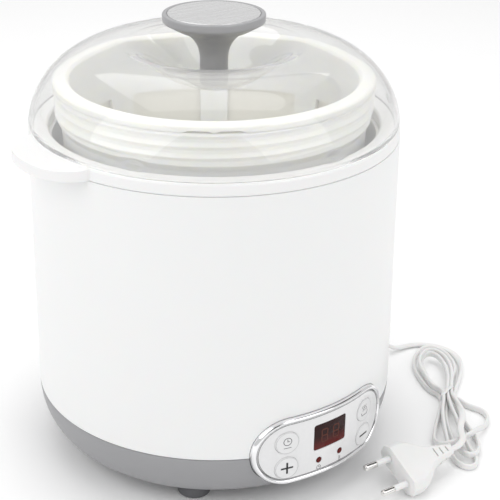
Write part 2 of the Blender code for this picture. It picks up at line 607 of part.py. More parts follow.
HANK_UPPER = (0.1520, -0.0450, 0.0205)
HANK_WAIST = (0.1310, -0.0840, 0.0085)
HANK_LOWER = (0.0985, -0.1310, 0.0150)
HANK_Z = (0.0017, 0.0070)


def hank_half(name, first, second, finish=None):
    """A tapered bar with round ends, the outer shape of the loops on one side of the tie."""
    bm = bmesh.new()
    for x, y, radius in (first, second):
        for px, py in circle(x, y, radius, 20):
            bm.verts.new((px, py, HANK_Z[0]))
    hull = bmesh.ops.convex_hull(bm, input=bm.verts[:])
    bmesh.ops.delete(bm, geom=[v for v in hull["geom_interior"] if isinstance(v, bmesh.types.BMVert)],
                     context="VERTS")
    angles = [(math.atan2(v.co.y - (first[1] + second[1]) / 2, v.co.x - (first[0] + second[0]) / 2),
               v.co.x, v.co.y) for v in bm.verts]
    bm.free()
    return add(prism([(x, y) for _, x, y in sorted(angles)], *HANK_Z), name, finish)


hank = hank_half("cord_hank", HANK_UPPER, HANK_WAIST, CORD_WHITE)
boolean(hank, hank_half("join_hank_lower", HANK_WAIST, HANK_LOWER), "UNION")

hank_axis = (Vector(HANK_LOWER[:2]) - Vector(HANK_UPPER[:2])).normalized()
TIE_WIDTH = 0.0024
half_u, half_w = HANK_WAIST[2] + 0.0014, (HANK_Z[1] - HANK_Z[0]) / 2 + GAP
tie_mid = (HANK_Z[0] + HANK_Z[1]) / 2
TIE_WIRE = 0.0010
tie = add(prism(rectangle(-half_u - TIE_WIRE, half_u + TIE_WIRE, tie_mid - half_w - TIE_WIRE,
                          tie_mid + half_w + TIE_WIRE), -TIE_WIDTH / 2, TIE_WIDTH / 2, axis="Y"),
          "twist_tie", CORD_WHITE)
tie_hole = add(prism(rectangle(-half_u, half_u, tie_mid - half_w, tie_mid + half_w),
                     -TIE_WIDTH, TIE_WIDTH, axis="Y"), "cut_tie")
tie_turn = math.atan2(hank_axis.y, hank_axis.x) - math.pi / 2
for piece in (tie, tie_hole):
    piece.location = (HANK_WAIST[0], HANK_WAIST[1], 0)
    piece.rotation_euler = (0, 0, tie_turn)
boolean(tie, tie_hole)

# The plug lies rolled on one edge, its strain relief resting on the hank's lower loops.
plug = bpy.data.objects.new("plug_frame", None)
bpy.context.collection.objects.link(plug)
plug.parent = tub
PLUG_PLACE = (0.0390, -0.1308, 0.0124)
PLUG_HEADING = math.radians(-4.0)
PLUG_ROLL = math.radians(25)
plug.location = PLUG_PLACE
plug.rotation_euler = (PLUG_ROLL, 0, PLUG_HEADING)

PLUG_FACE = ((0.0172, 0.0030), (0.0130, 0.0066))
PLUG_BODY = 0.0260
PLUG_RELIEF = 0.0490


def plug_section(bm, x, scale_y, scale_z):
    ring = []
    for sy, sz in ((1, 1), (-1, 1), (-1, -1), (1, -1)):
        order = PLUG_FACE if sy * sz > 0 else PLUG_FACE[::-1]
        ring += [(x, sy * y * scale_y, sz * z * scale_z) for y, z in order]
    return [bm.verts.new(p) for p in ring]


plug_bm = bmesh.new()
sections = [plug_section(plug_bm, x, sy, sz) for x, sy, sz in (
    (0.0, 0.97, 0.96), (0.0010, 1.0, 1.0), (0.0110, 1.0, 1.0), (0.0200, 0.72, 0.94),
    (PLUG_BODY, 0.36, 0.72), (PLUG_RELIEF, 0.20, 0.48))]
for first, second in zip(sections, sections[1:]):
    for i in range(8):
        plug_bm.faces.new((first[i], first[(i + 1) % 8], second[(i + 1) % 8], second[i]))
plug_bm.faces.new(sections[0])
plug_bm.faces.new(sections[-1])
plug_body = add(plug_bm, "plug_body", CORD_WHITE, parent=plug)

PIN_Y = 0.0093
PIN_LENGTH = 0.0190
SLEEVE_LENGTH = 0.0100
for side, y in (("left", -PIN_Y), ("right", PIN_Y)):
    for label, radius, start_x, end_x, finish in (
            ("sleeve", 0.0019, GAP, SLEEVE_LENGTH, CORD_WHITE),
            ("pin", 0.0020, SLEEVE_LENGTH + GAP, PIN_LENGTH, STEEL)):
        tip = radius * 0.55 if label == "pin" else radius
        bm = turned_mesh([(0, start_x), (radius, start_x), (radius, end_x - 0.001), (tip, end_x),
                          (0, end_x)], steps=12)
        bmesh.ops.rotate(bm, verts=bm.verts, cent=(0, 0, 0),
                         matrix=Matrix.Rotation(-math.pi / 2, 3, "Y"))
        bmesh.ops.translate(bm, verts=bm.verts, vec=(0, y, 0))
        add(bm, f"plug_{label}_{side}", finish, parent=plug)

plug_axis = Vector((math.cos(PLUG_HEADING), math.sin(PLUG_HEADING), 0))
tail_start = Vector(PLUG_PLACE) + plug_axis * (PLUG_RELIEF + 2 * GAP)
TAIL_ROUTE = [tail_start, tail_start + plug_axis * 0.009, (0.1030, -0.1300, 0.0120),
              (0.1075, -0.1235, 0.0115), (0.1140, -0.1165, 0.0114), (0.1225, -0.1100, 0.0113),
              (0.1325, -0.1075, 0.0110), (0.1405, -0.1060, 0.0080),
              (0.1440, -0.1010, 0.0060), (0.1405, -0.0975, 0.0052), (0.1356, -0.0952, 0.0051)]
cord("cord_tail", TAIL_ROUTE)
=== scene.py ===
"""Countertop yogurt maker with its lid, strainer and tied mains lead, dressed for a soft studio picture.

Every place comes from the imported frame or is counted, in metres, from the tub's turning axis.
"""

import math

import bmesh
import bpy
from mathutils import Matrix, Vector


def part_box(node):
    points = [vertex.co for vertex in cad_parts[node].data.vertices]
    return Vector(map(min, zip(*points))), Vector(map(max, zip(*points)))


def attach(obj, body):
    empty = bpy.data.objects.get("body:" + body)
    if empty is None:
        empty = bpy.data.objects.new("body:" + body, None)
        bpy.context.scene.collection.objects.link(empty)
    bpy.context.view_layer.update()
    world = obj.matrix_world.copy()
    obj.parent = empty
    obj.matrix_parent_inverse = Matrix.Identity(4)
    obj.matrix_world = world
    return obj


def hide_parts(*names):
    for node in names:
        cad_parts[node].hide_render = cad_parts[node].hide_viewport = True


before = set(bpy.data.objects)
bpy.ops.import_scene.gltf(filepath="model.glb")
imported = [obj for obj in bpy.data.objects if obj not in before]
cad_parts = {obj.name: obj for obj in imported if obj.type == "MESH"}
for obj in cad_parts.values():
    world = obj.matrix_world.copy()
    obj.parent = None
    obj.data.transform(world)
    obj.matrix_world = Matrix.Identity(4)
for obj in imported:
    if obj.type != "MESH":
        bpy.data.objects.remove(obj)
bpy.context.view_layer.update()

# ---- stage -----------------------------------------------------------
# A wide pale floor under an even pale sky, two big softboxes in front that the lid mirrors,
# and a long lens looking down a little from the left of the panel.


def middle_of(low, high):
    """The middle of a box, put down on the floor."""
    return Vector(((low[0] + high[0]) / 2, (low[1] + high[1]) / 2, 0))


pot_low, pot_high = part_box("inner_container")
AXIS = middle_of(pot_low, pot_high)

VIEW_TURN = math.radians(36.8)
VIEW_DROP = math.radians(25.04)
STAND_OFF = 0.7107
VIEW_HEIGHT = 0.4517
camera = bpy.data.objects.new("camera", bpy.data.cameras.new("camera"))
bpy.context.collection.objects.link(camera)
camera.location = AXIS + Vector((-STAND_OFF * math.sin(VIEW_TURN), -STAND_OFF * math.cos(VIEW_TURN),
                                 VIEW_HEIGHT))
camera.rotation_euler = (math.pi / 2 - VIEW_DROP, 0, -VIEW_TURN)
camera.data.lens = 91.4
camera.data.shift_x = 0.072
bpy.context.scene.camera = camera
bpy.context.scene.view_settings.view_transform = "Standard"

world = bpy.data.worlds.new("studio")
world.use_nodes = True
world.node_tree.nodes["Background"].inputs["Color"].default_value = (1.0, 1.0, 1.0, 1.0)
world.node_tree.nodes["Background"].inputs["Strength"].default_value = 0.66
bpy.context.scene.world = world

AIM = AXIS + Vector((0, 0, 0.15))


def softbox(name, direction, distance, size, power):
    """A square soft light that looks at the middle of the tub."""
    lamp = bpy.data.lights.new(name, "AREA")
    lamp.shape, lamp.size, lamp.size_y, lamp.energy = "RECTANGLE", *size, power
    light = bpy.data.objects.new(name, lamp)
    bpy.context.collection.objects.link(light)
    light.location = AIM + Vector(direction).normalized() * distance
    light.rotation_euler = Vector(direction).to_track_quat("Z", "Y").to_euler()


softbox("softbox_left", (-0.80, 0.06, 0.62), 1.30, (1.00, 0.95), 4.5)
softbox("softbox_right", (0.22, -0.78, 0.60), 1.30, (1.00, 0.95), 3.5)
softbox("softbox_top", (0.25, 0.35, 1.00), 1.60, (1.60, 1.60), 11)


# ---- shader tools, first used on the floor ---------------------------
class Value:
    """A number or a colour inside a finish. Arithmetic on it adds Math nodes."""

    def __init__(self, finish, socket):
        self.finish, self.socket = finish, socket

    def math(self, operation, *values):
        return self.finish.node("ShaderNodeMath", {"operation": operation}, dict(enumerate(values)))

    def __add__(self, other):
        return self.math("ADD", self, other)

    def __sub__(self, other):
        return self.math("SUBTRACT", self, other)

    def __rsub__(self, other):
        return self.math("SUBTRACT", other, self)

    def __mul__(self, other):
        return self.math("MULTIPLY", self, other)

    __radd__, __rmul__ = __add__, __mul__


class Finish:
    """A material. Even numbers are set on the shader itself; what varies is linked with feed."""

    def __init__(self, name, colour, roughness, sockets=None):
        self.material = bpy.data.materials.new(name)
        self.material.use_nodes = True
        self.tree = self.material.node_tree
        self.shader = self.tree.nodes["Principled BSDF"]
        values = {"Base Color": colour, "Roughness": roughness, **(sockets or {})}
        for socket, value in values.items():
            self.feed(self.shader.inputs[socket], value)

    def feed(self, socket, value):
        if isinstance(value, Value):
            self.tree.links.new(value.socket, socket)
        elif isinstance(value, tuple) and len(value) < len(socket.default_value):
            socket.default_value = (*value, 1.0)
        else:
            socket.default_value = value

    def vary(self, name, value):
        self.feed(self.shader.inputs[name], value)

    def node(self, kind, settings=None, inputs=None, out=0):
        """Add a node: its settings and its ramp's stops first, then its inputs; give one output."""
        made = self.tree.nodes.new(kind)
        for name, value in (settings or {}).items():
            if name == "stops":
                for element, (place, colour) in zip(made.color_ramp.elements, value):
                    element.position, element.color = place, (*colour, 1.0)
            else:
                setattr(made, name, value)
        for place, value in (inputs or {}).items():
            self.feed(made.inputs[place], value)
        return Value(self, made.outputs[out])

    def place(self, scale=(1, 1, 1)):
        spot = self.node("ShaderNodeTexCoord", out="Object")
        return self.node("ShaderNodeMapping", None, {"Vector": spot, "Scale": scale})

    def noise(self, scale, detail=3.0, stretch=(1, 1, 1)):
        return self.node("ShaderNodeTexNoise", None, {
            "Vector": self.place(stretch), "Scale": scale, "Detail": detail})

    def blend(self, mask, low, high):
        return self.node("ShaderNodeMix", {"data_type": "RGBA"}, {0: mask, 6: low, 7: high}, out=2)

    def bump(self, height, strength, distance):
        bump = self.node("ShaderNodeBump", None, {
            "Height": height, "Strength": strength, "Distance": distance})
        self.vary("Normal", bump)


def as_object(bm, name, finish=None):
    """Turn a bmesh into an object with its finish, placed at the origin."""
    mesh = bpy.data.meshes.new(name)
    bm.to_mesh(mesh)
    bm.free()
    if finish:
        mesh.materials.append(finish.material)
    made = bpy.data.objects.new(name, mesh)
    bpy.context.collection.objects.link(made)
    return made


floor_finish = Finish("floor", (0.97, 0.97, 0.97), 0.85)
floor_bm = bmesh.new()
bmesh.ops.create_grid(floor_bm, x_segments=1, y_segments=1, size=9.0)
as_object(floor_bm, "floor", floor_finish)

# ---- black flags -----------------------------------------------------
# Two curved sheets of black card stand out of sight round the tub. Only mirror-like parts see them,
# so that the chromed frame and the plug's pins get a dark streak beside their bright one.
card = Finish("black_card", (0.02, 0.02, 0.02), 0.90)


def flag(name, turns, heights, distance=1.25):
    """A sheet bent round the tub between two bearings and two heights, all in degrees."""
    bm = bmesh.new()
    bmesh.ops.create_grid(bm, x_segments=14, y_segments=6, size=0.5)
    for vert in bm.verts:
        turn = math.radians(turns[0] + (turns[1] - turns[0]) * (vert.co.x + 0.5))
        rise = math.radians(heights[0] + (heights[1] - heights[0]) * (vert.co.y + 0.5))
        vert.co = AIM + distance * Vector((math.cos(turn) * math.cos(rise),
                                           math.sin(turn) * math.cos(rise), math.sin(rise)))
    sheet = as_object(bm, name, card)
    sheet.visible_camera = sheet.visible_diffuse = False
    sheet.visible_shadow = sheet.visible_transmission = False


flag("flag_right", (-30, 60), (40, 65))
flag("flag_left", (-150, -110), (20, 50))

# ---- mains lead ------------------------------------------------------
# A flat two-core lead in white PVC leaves the drum's right side, and is folded on edge in three
# loops above and three below a twist tie. Its last stretch climbs over the loops into the plug.
GLAND_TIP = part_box("cord_gland")[1][0] - AXIS.x
LEAD_Z = (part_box("cord_gland")[0][2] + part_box("cord_gland")[1][2]) / 2
CORD_WIDTH = 0.0043
CORD_THICK = 0.0027
LOW = 0.0022
HIGH = 0.0062
TIE_PLACE = Vector((0.1354, -0.0793, 0))
TIE_ACROSS = Vector((0.849, -0.528, 0))


def through_tie(offset, height):
    """Where one strand passes the tie, by its place across the bundle and its height."""
    return [TIE_PLACE + TIE_ACROSS * offset + Vector((0, 0, height))]


from_gland = [(GLAND_TIP + 0.0003, 0, LEAD_Z), (0.1350, -0.0001, 0.0199), (0.1395, -0.0015, 0.0180),
              (0.1435, -0.0045, 0.0130), (0.1475, -0.0080, 0.0075), (0.1525, -0.0103, 0.0038),
              (0.1580, -0.0112, 0.0024), (0.1640, -0.0118, 0.0018), (0.1694, -0.0133, 0.0016),
              (0.1747, -0.0167, 0.0016), (0.1789, -0.0212, 0.0016), (0.1819, -0.0268, 0.0017),
              (0.1833, -0.0338, 0.0019), (0.1825, -0.0413, 0.0021), (0.1790, -0.0489, LOW),
              (0.1741, -0.0553, LOW), (0.1670, -0.0622, LOW), (0.1590, -0.0682, LOW)]
stray_loop = [(0.1398, -0.0861, LOW), (0.1390, -0.0933, LOW), (0.1403, -0.0988, LOW),
              (0.1417, -0.1038, LOW), (0.1407, -0.1093, LOW), (0.1363, -0.1146, LOW),
              (0.1284, -0.1188, 0.0030), (0.1177, -0.1220, 0.0060), (0.1075, -0.1239, 0.0070),
              (0.0996, -0.1239, 0.0070), (0.0925, -0.1225, 0.0062), (0.0885, -0.1170, 0.0045),
              (0.0915, -0.1105, 0.0030), (0.0985, -0.1040, LOW), (0.1075, -0.0970, LOW),
              (0.1151, -0.0915, LOW)]
outer_loop = [(0.1335, -0.0643, LOW), (0.1377, -0.0534, LOW), (0.1432, -0.0427, LOW),
              (0.1501, -0.0336, LOW), (0.1582, -0.0271, LOW), (0.1671, -0.0230, LOW),
              (0.1740, -0.0230, LOW), (0.1775, -0.0274, LOW), (0.1782, -0.0344, LOW),
              (0.1762, -0.0426, LOW), (0.1717, -0.0510, LOW), (0.1646, -0.0587, LOW),
              (0.1552, -0.0650, LOW)]
low_loop = [(0.1311, -0.0896, LOW), (0.1263, -0.0992, LOW), (0.1215, -0.1094, LOW),
            (0.1173, -0.1188, LOW), (0.1134, -0.1267, LOW), (0.1075, -0.1334, 0.0026),
            (0.0992, -0.1380, 0.0042), (0.0930, -0.1379, 0.0058), (0.0929, -0.1320, 0.0054),
            (0.0975, -0.1228, 0.0036), (0.1037, -0.1134, 0.0026), (0.1104, -0.1043, LOW),
            (0.1180, -0.0951, LOW)]
inner_loop = [(0.1407, -0.0592, LOW), (0.1467, -0.0478, 0.0026), (0.1520, -0.0393, 0.0036),
              (0.1579, -0.0347, 0.0052), (0.1637, -0.0349, HIGH), (0.1655, -0.0401, HIGH),
              (0.1629, -0.0481, HIGH), (0.1572, -0.0573, HIGH), (0.1499, -0.0662, HIGH)]
narrow_loop = [(0.1238, -0.0944, HIGH), (0.1172, -0.1045, HIGH), (0.1101, -0.1149, HIGH),
               (0.1053, -0.1235, 0.0046), (0.1014, -0.1316, 0.0030), (0.0986, -0.1388, LOW),
               (0.0939, -0.1439, LOW), (0.0883, -0.1444, LOW), (0.0856, -0.1405, LOW),
               (0.0857, -0.1346, 0.0026), (0.0882, -0.1281, 0.0038), (0.0929, -0.1207, 0.0054),
               (0.0995, -0.1121, HIGH), (0.1082, -0.1020, HIGH), (0.1178, -0.0920, HIGH)]
middle_loop = [(0.1342, -0.0661, HIGH), (0.1400, -0.0541, HIGH), (0.1455, -0.0438, 0.0068),
               (0.1532, -0.0364, 0.0076), (0.1626, -0.0330, 0.0078), (0.1675, -0.0362, 0.0076),
               (0.1684, -0.0432, 0.0070), (0.1651, -0.0518, 0.0066), (0.1593, -0.0601, HIGH),
               (0.1512, -0.0683, HIGH)]
to_plug = [(0.1312, -0.0919, 0.0066), (0.1256, -0.1006, 0.0076), (0.1179, -0.1090, 0.0088),
           (0.1085, -0.1162, 0.0100), (0.1010, -0.1235, 0.0112), (0.0960, -0.1295, 0.0119),
           (0.0880, -0.1335, 0.0124), (0.0804, -0.1337, 0.0124)]
route = (from_gland + through_tie(0.00405, LOW) + stray_loop
         + through_tie(-0.00405, LOW) + outer_loop
         + through_tie(0.00135, LOW) + low_loop
         + through_tie(-0.00135, LOW) + inner_loop
         + through_tie(0.0, HIGH) + narrow_loop
         + through_tie(-0.0027, HIGH) + middle_loop
         + through_tie(0.0027, HIGH) + to_plug)


def smooth_line(points, spacing):
    """Even points on a Catmull-Rom curve through given points."""
    points = [Vector(p) for p in points]
    ends = [2 * points[0] - points[1]] + points + [2 * points[-1] - points[-2]]
    fine = []
    for a, b, c, d in zip(ends, ends[1:], ends[2:], ends[3:]):
        for i in range(12):
            t = i / 12
            fine.append(0.5 * (2 * b + (c - a) * t + (2 * a - 5 * b + 4 * c - d) * t * t
                               + (3 * b - a - 3 * c + d) * t * t * t))
    fine.append(points[-1])
    for _ in range(6):
        inner = [(a + 2 * b + c) / 4 for a, b, c in zip(fine, fine[1:], fine[2:])]
        fine = [fine[0]] + inner + [fine[-1]]
    total = sum((q - p).length for p, q in zip(fine, fine[1:]))
    count = round(total / spacing)
    even, walked = [fine[0]], 0.0
    for p, q in zip(fine, fine[1:]):
        step = (q - p).length
        while len(even) < count and walked + step >= len(even) * total / count:
            even.append(p.lerp(q, (len(even) * total / count - walked) / step))
        walked += step
    return even + [fine[-1]]


def lofted(bm, sections, closed=False):
    """A skin over outlines of equal length, capped at both ends or closed into a ring."""
    rings = [[bm.verts.new(point) for point in section] for section in sections]
    edges = [[bm.edges.new(pair) for pair in zip(ring, ring[1:] + ring[:1])] for ring in rings]
    for first, second in zip(edges, edges[1:] + (edges[:1] if closed else [])):
        bmesh.ops.bridge_loops(bm, edges=first + second)
    if not closed:
        bm.faces.new(rings[0])
        bm.faces.new(rings[-1])
    return bm


def swept(bm, line, section, roll):
    """A closed tube along a line. section is (sideways, upwards), turned by roll(share of the way)."""
    rings = []
    for i, point in enumerate(line):
        ahead = (line[min(i + 1, len(line) - 1)] - line[max(i - 1, 0)]).normalized()
        side = ahead.cross(Vector((0, 0, 1))).normalized()
        side = Matrix.Rotation(roll(i / (len(line) - 1)), 3, ahead) @ side
        up = side.cross(ahead)
        rings.append([point + side * s + up * u for s, u in section])
    return lofted(bm, rings)


def finished(bm, name, body, finish, replaces=(), sharp=35):
    """Weld a piece, turn its faces out, set it on its body and give it its finish and its place."""
    bmesh.ops.remove_doubles(bm, verts=bm.verts, dist=2e-6)
    bmesh.ops.recalc_face_normals(bm, faces=bm.faces)
    piece = as_object(bm, name, finish)
    piece.data.shade_smooth()
    piece.data.set_sharp_from_angle(angle=math.radians(sharp))
    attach(piece, body)
    if replaces:
        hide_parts(*replaces)
    return piece


def cord_section(count=20):
    """The lead's outline: two cores side by side, with a shallow valley between them."""
    outline = []
    for i in range(count):
        angle = math.tau * (i + 0.5) / count
        side = math.cos(angle) * CORD_WIDTH / 2
        valley = 0.16 * math.exp(-(side / 0.0007) ** 2)
        outline.append((side, math.sin(angle) * CORD_THICK / 2 * (1 - valley)))
    return outline
def cord_roll(share):
    """The lead leaves its gland flat, stands on edge in the loops, and is flat again in the plug."""
    rise = min(max((share - 0.07) / 0.04, 0.0), 1.0)
    fall = min(max((0.96 - share) / 0.03, 0.0), 1.0)
    return math.pi / 4 * (1 - math.cos(math.pi * min(rise, fall)))

CORD_COLOUR = (0.84, 0.84, 0.835)
pvc = Finish("cord_pvc", CORD_COLOUR, 0.42, {"Subsurface Weight": 0.08, "Subsurface Scale": 0.002})
pvc.vary("Roughness", 0.36 + pvc.noise(120) * 0.14)
pvc.vary("Base Color", pvc.blend(pvc.noise(35), (0.80, 0.80, 0.79), (0.88, 0.88, 0.875)))
pvc.bump(pvc.noise(900, 2), 0.12, 0.0002)

cord_line = [AXIS + point for point in smooth_line(route, 0.0016)]
cord = finished(swept(bmesh.new(), cord_line, cord_section(), cord_roll), "mains_cord", "housing",
                pvc, ("cord_lead", "cord_hank", "cord_tail"))

# ---- twist tie -------------------------------------------------------
# A paper-thin white plastic ribbon with a wire core goes once round the folded lead,
# and its two ends are twisted together and pressed down beside it.
TIE_HALF = (0.0083, 0.0042)
TIE_RISE = 0.0045
TIE_HEADING = Vector((0.958, 0.286, 0))
tie_ring = []
for i in range(48):
    angle = math.tau * i / 48
    square = 1 / max(abs(math.cos(angle)), abs(math.sin(angle))) ** 0.55
    tie_ring.append(TIE_PLACE + TIE_HEADING * (TIE_HALF[0] * math.cos(angle) * min(square, 1.1))
                    + Vector((0, 0, TIE_RISE + TIE_HALF[1] * math.sin(angle) * square)))
tie_side = TIE_HEADING.cross(Vector((0, 0, 1)))
tie_rings = []
for i, point in enumerate(tie_ring):
    ahead = (tie_ring[(i + 1) % 48] - tie_ring[i - 1]).normalized()
    out = ahead.cross(tie_side)
    corners = [(-1.2, 0), (-1.1, 0.28), (-0.35, 0.30), (0, 0.55), (0.35, 0.30), (1.1, 0.28), (1.2, 0)]
    tie_rings.append([AXIS + point + tie_side * (s / 1000) + out * (u / 1000) for s, u in corners])
tie_bm = lofted(bmesh.new(), tie_rings, closed=True)
twist_start = AXIS + TIE_PLACE + TIE_HEADING * 0.0084 + Vector((0, 0, 0.0020))
twist_line = [twist_start + Vector((0.0070, 0.0035, 0)) * (i / 20) for i in range(21)]
ribbon = [(0.0011, 0.0003), (-0.0011, 0.0003), (-0.0011, -0.0003), (0.0011, -0.0003)]
swept(tie_bm, twist_line, ribbon, lambda share: 9.0 * share)
finished(tie_bm, "cord_tie", "housing", pvc, ("twist_tie",))

# ---- plug ------------------------------------------------------------
# One moulding in white PVC round two pins, wide at its face and drawn in to a slotted neck that
# lets the lead bend. Each pin is a plated brass rod, sleeved in white for its first half.
PLUG_PLACE = AXIS + Vector((0.0390, -0.1308, 0.0124))
PLUG_TURN = Matrix.Rotation(math.radians(-4.0), 4, "Z") @ Matrix.Rotation(math.radians(25), 4, "X")
plug_frame = Matrix.Translation(PLUG_PLACE) @ PLUG_TURN


def filleted(corners, steps=4):
    """An outline of (radius, height, fillet) corners; every fillet is a short curve."""
    outline = []
    for i, (r, z, fillet) in enumerate(corners):
        here = Vector((r, z))
        if not fillet:
            outline.append((r, z))
            continue
        before = Vector(corners[i - 1][:2]) - here
        after = Vector(corners[(i + 1) % len(corners)][:2]) - here
        first = here + before.normalized() * min(fillet, before.length * 0.45)
        last = here + after.normalized() * min(fillet, after.length * 0.45)
        for step in range(steps + 1):
            t = step / steps
            point = first * (1 - t) ** 2 + here * (2 * t * (1 - t)) + last * t * t
            outline.append((point.x, point.y))
    return outline


def facets(half_y, half_z, flat_y, flat_z, nick_y=0.0, nick_z=0.0):
    """An eight-sided outline, (y, z) in millimetres. A nick sinks the middle of two opposite sides."""
    quarter = [(half_y - nick_y, 0.66 * flat_z, 0), (half_y, 0.70 * flat_z, 0), (half_y, flat_z, 0.7),
               (flat_y, half_z, 0.7), (0.70 * flat_y, half_z, 0), (0.66 * flat_y, half_z - nick_z, 0)]
    corners = []
    for sy, sz in ((1, 1), (-1, 1), (-1, -1), (1, -1)):
        corners += [(sy * y, sz * z, ease) for y, z, ease in quarter[::sy * sz]]
    return filleted(corners, 3)


# distance from the face, half width, half thickness, and where the slanted corners begin
PLUG_SHAPE = ((0.0, 16.7, 6.1, 12.7, 2.8), (0.2, 17.0, 6.45, 12.9, 2.95), (0.6, 17.2, 6.6, 13.0, 3.0),
              (6.0, 17.2, 6.6, 13.0, 3.0), (9.5, 16.7, 6.6, 12.6, 3.0), (12.5, 15.6, 6.5, 11.7, 3.0),
              (15.5, 13.6, 6.4, 10.0, 3.0), (18.5, 11.1, 6.2, 8.0, 3.1), (21.5, 8.7, 5.9, 6.0, 3.2),
              (24.0, 7.3, 5.5, 5.0, 3.3), (26.0, 6.6, 5.2, 4.6, 3.3))
NECK_START, NECK_END = 26.0, 41.5
NICK_PITCH, NICK_WIDTH, NICKS = 2.4, 1.2, 6
sections = [[(x, y, z) for y, z in facets(*shape)] for x, *shape in PLUG_SHAPE]
for nick in range(NICKS):
    for step, depth in ((0.0, 0.0), (0.06, 1.0), (NICK_WIDTH - 0.06, 1.0), (NICK_WIDTH, 0.0)):
        x = NECK_START + 0.8 + NICK_PITCH * nick + step
        share = (x - NECK_START) / (NECK_END - NECK_START)
        half_y, half_z = 6.4 - 2.9 * share, 5.1 - 2.1 * share
        depths = (0.0, 1.7 * depth) if nick % 2 == 0 else (1.9 * depth, 0.0)
        sections.append([(x, y, z) for y, z in facets(half_y, half_z, half_y - 1.9, half_z - 1.7, *depths)])
sections.append([(NECK_END, y, z) for y, z in facets(3.3, 2.8, 1.6, 1.3)])
millimetres = Matrix.Scale(0.001, 4)
plug_bm = lofted(bmesh.new(), sections)
bmesh.ops.transform(plug_bm, matrix=plug_frame @ millimetres, verts=plug_bm.verts)
plug = finished(plug_bm, "mains_plug", "housing", pvc, ("plug_body",))


def turned(outline, steps=192, centre=AXIS):
    """A bmesh turned about an upright axis from a closed outline of (radius, height)."""
    bm = bmesh.new()
    ring = [bm.verts.new((r, 0, z)) for r, z in outline]
    pairs = zip(ring, ring[1:] + ring[:1])
    edges = [bm.edges.new(p) for p in pairs if p[0].co.x > 1e-9 or p[1].co.x > 1e-9]
    bmesh.ops.spin(bm, geom=ring + edges, cent=(0, 0, 0), axis=(0, 0, 1), angle=math.tau,
                   steps=steps, use_merge=True)
    bmesh.ops.remove_doubles(bm, verts=bm.verts, dist=1e-6)
    bmesh.ops.recalc_face_normals(bm, faces=bm.faces)
    bmesh.ops.translate(bm, verts=bm.verts, vec=centre)
    return bm


plating = Finish("pin_plating", (0.80, 0.79, 0.77), 0.12, {"Metallic": 1.0})
plating.vary("Roughness", 0.08 + plating.noise(300, 4, (1, 8, 8)) * 0.10)
PIN_Y = 0.0093
lying = Matrix.Rotation(math.radians(-90), 4, "Y")
for side, y in (("left", -PIN_Y), ("right", PIN_Y)):
    pin_frame = plug_frame @ Matrix.Translation((0, y, 0)) @ lying
    sleeve_bm = turned(filleted([(0, 0.0003, 0), (0.0024, 0.0003, 0.0004), (0.0019, 0.0010, 0.0003),
                                 (0.0019, 0.0100, 0.0002), (0, 0.0100, 0)]), 40, Vector())
    bmesh.ops.transform(sleeve_bm, matrix=pin_frame, verts=sleeve_bm.verts)
    pin_bm = turned(filleted([(0, 0.0103, 0), (0.0020, 0.0103, 0.0002), (0.0020, 0.0190, 0.0019),
                              (0, 0.0190, 0)], 8), 40, Vector())
    bmesh.ops.transform(pin_bm, matrix=pin_frame, verts=pin_bm.verts)
    finished(sleeve_bm, f"pin_sleeve_{side}", "housing", pvc,
                                   (f"plug_sleeve_{side}",))
    finished(pin_bm, f"pin_{side}", "housing", plating,
                                   (f"plug_pin_{side}",))

cord_length = sum((q - p).length for p, q in zip(cord_line, cord_line[1:]))

# ---- strain relief ---------------------------------------------------
# A tapered white PVC sleeve with ring slots, gripped by the base where the lead leaves it.
GLAND_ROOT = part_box("cord_gland")[0][0] - AXIS.x
gland_outline = [(0, 0, 0), (0.0056, 0, 0.0004), (0.0056, 0.0085, 0.0003), (0.0050, 0.0105, 0.0004)]
for i in range(4):
    start = 0.0130 + 0.0036 * i
    radius = 0.0048 - 0.0004 * i
    gland_outline += [(radius, start, 0.0003), (radius - 0.0011, start + 0.0001, 0.0002),
                      (radius - 0.0012, start + 0.0013, 0.0002), (radius - 0.0001, start + 0.0014, 0.0003)]
gland_outline += [(0.0032, GLAND_TIP - GLAND_ROOT, 0.0004), (0, GLAND_TIP - GLAND_ROOT, 0)]
gland_bm = turned(filleted(gland_outline, 2), 48, Vector())
bmesh.ops.transform(gland_bm, verts=gland_bm.verts,
                    matrix=Matrix.Translation(AXIS + Vector((GLAND_ROOT, 0, LEAD_Z)))
                    @ Matrix.Rotation(math.radians(90), 4, "Y"))
finished(gland_bm, "strain_relief", "housing", pvc, ("cord_gland",))

# ---- base ------------------------------------------------------------
# A bowl with a broad round shoulder, moulded in satin grey polypropylene. A thin lip on its rim
# slips inside the white shell, and a stadium-shaped hole in its front takes the control panel.
SEAT_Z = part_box("base_shell")[0][2]
shell_low, shell_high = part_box("outer_shell")
FOOT_R = (shell_high[0] - shell_low[0]) / 2
BASE_RIM = shell_low[2] - 0.0003
UNDERSIDE_R = 0.0887
SKIN = 0.0022


def shoulder(radius_r, radius_z, start, end, count):
    angles = [math.radians(start + (end - start) * i / count) for i in range(count + 1)]
    return [(UNDERSIDE_R + radius_r * math.cos(a), BASE_RIM + radius_z * math.sin(a)) for a in angles]


grey = Finish("base_grey", (0.33, 0.33, 0.34), 0.40)
grey.vary("Roughness", 0.36 + grey.noise(60, 5) * 0.14)
grey.vary("Base Color", grey.blend(grey.noise(9, 4), (0.305, 0.305, 0.315), (0.345, 0.345, 0.355)))
grey.bump(grey.noise(1600, 2), 0.20, 0.0003)

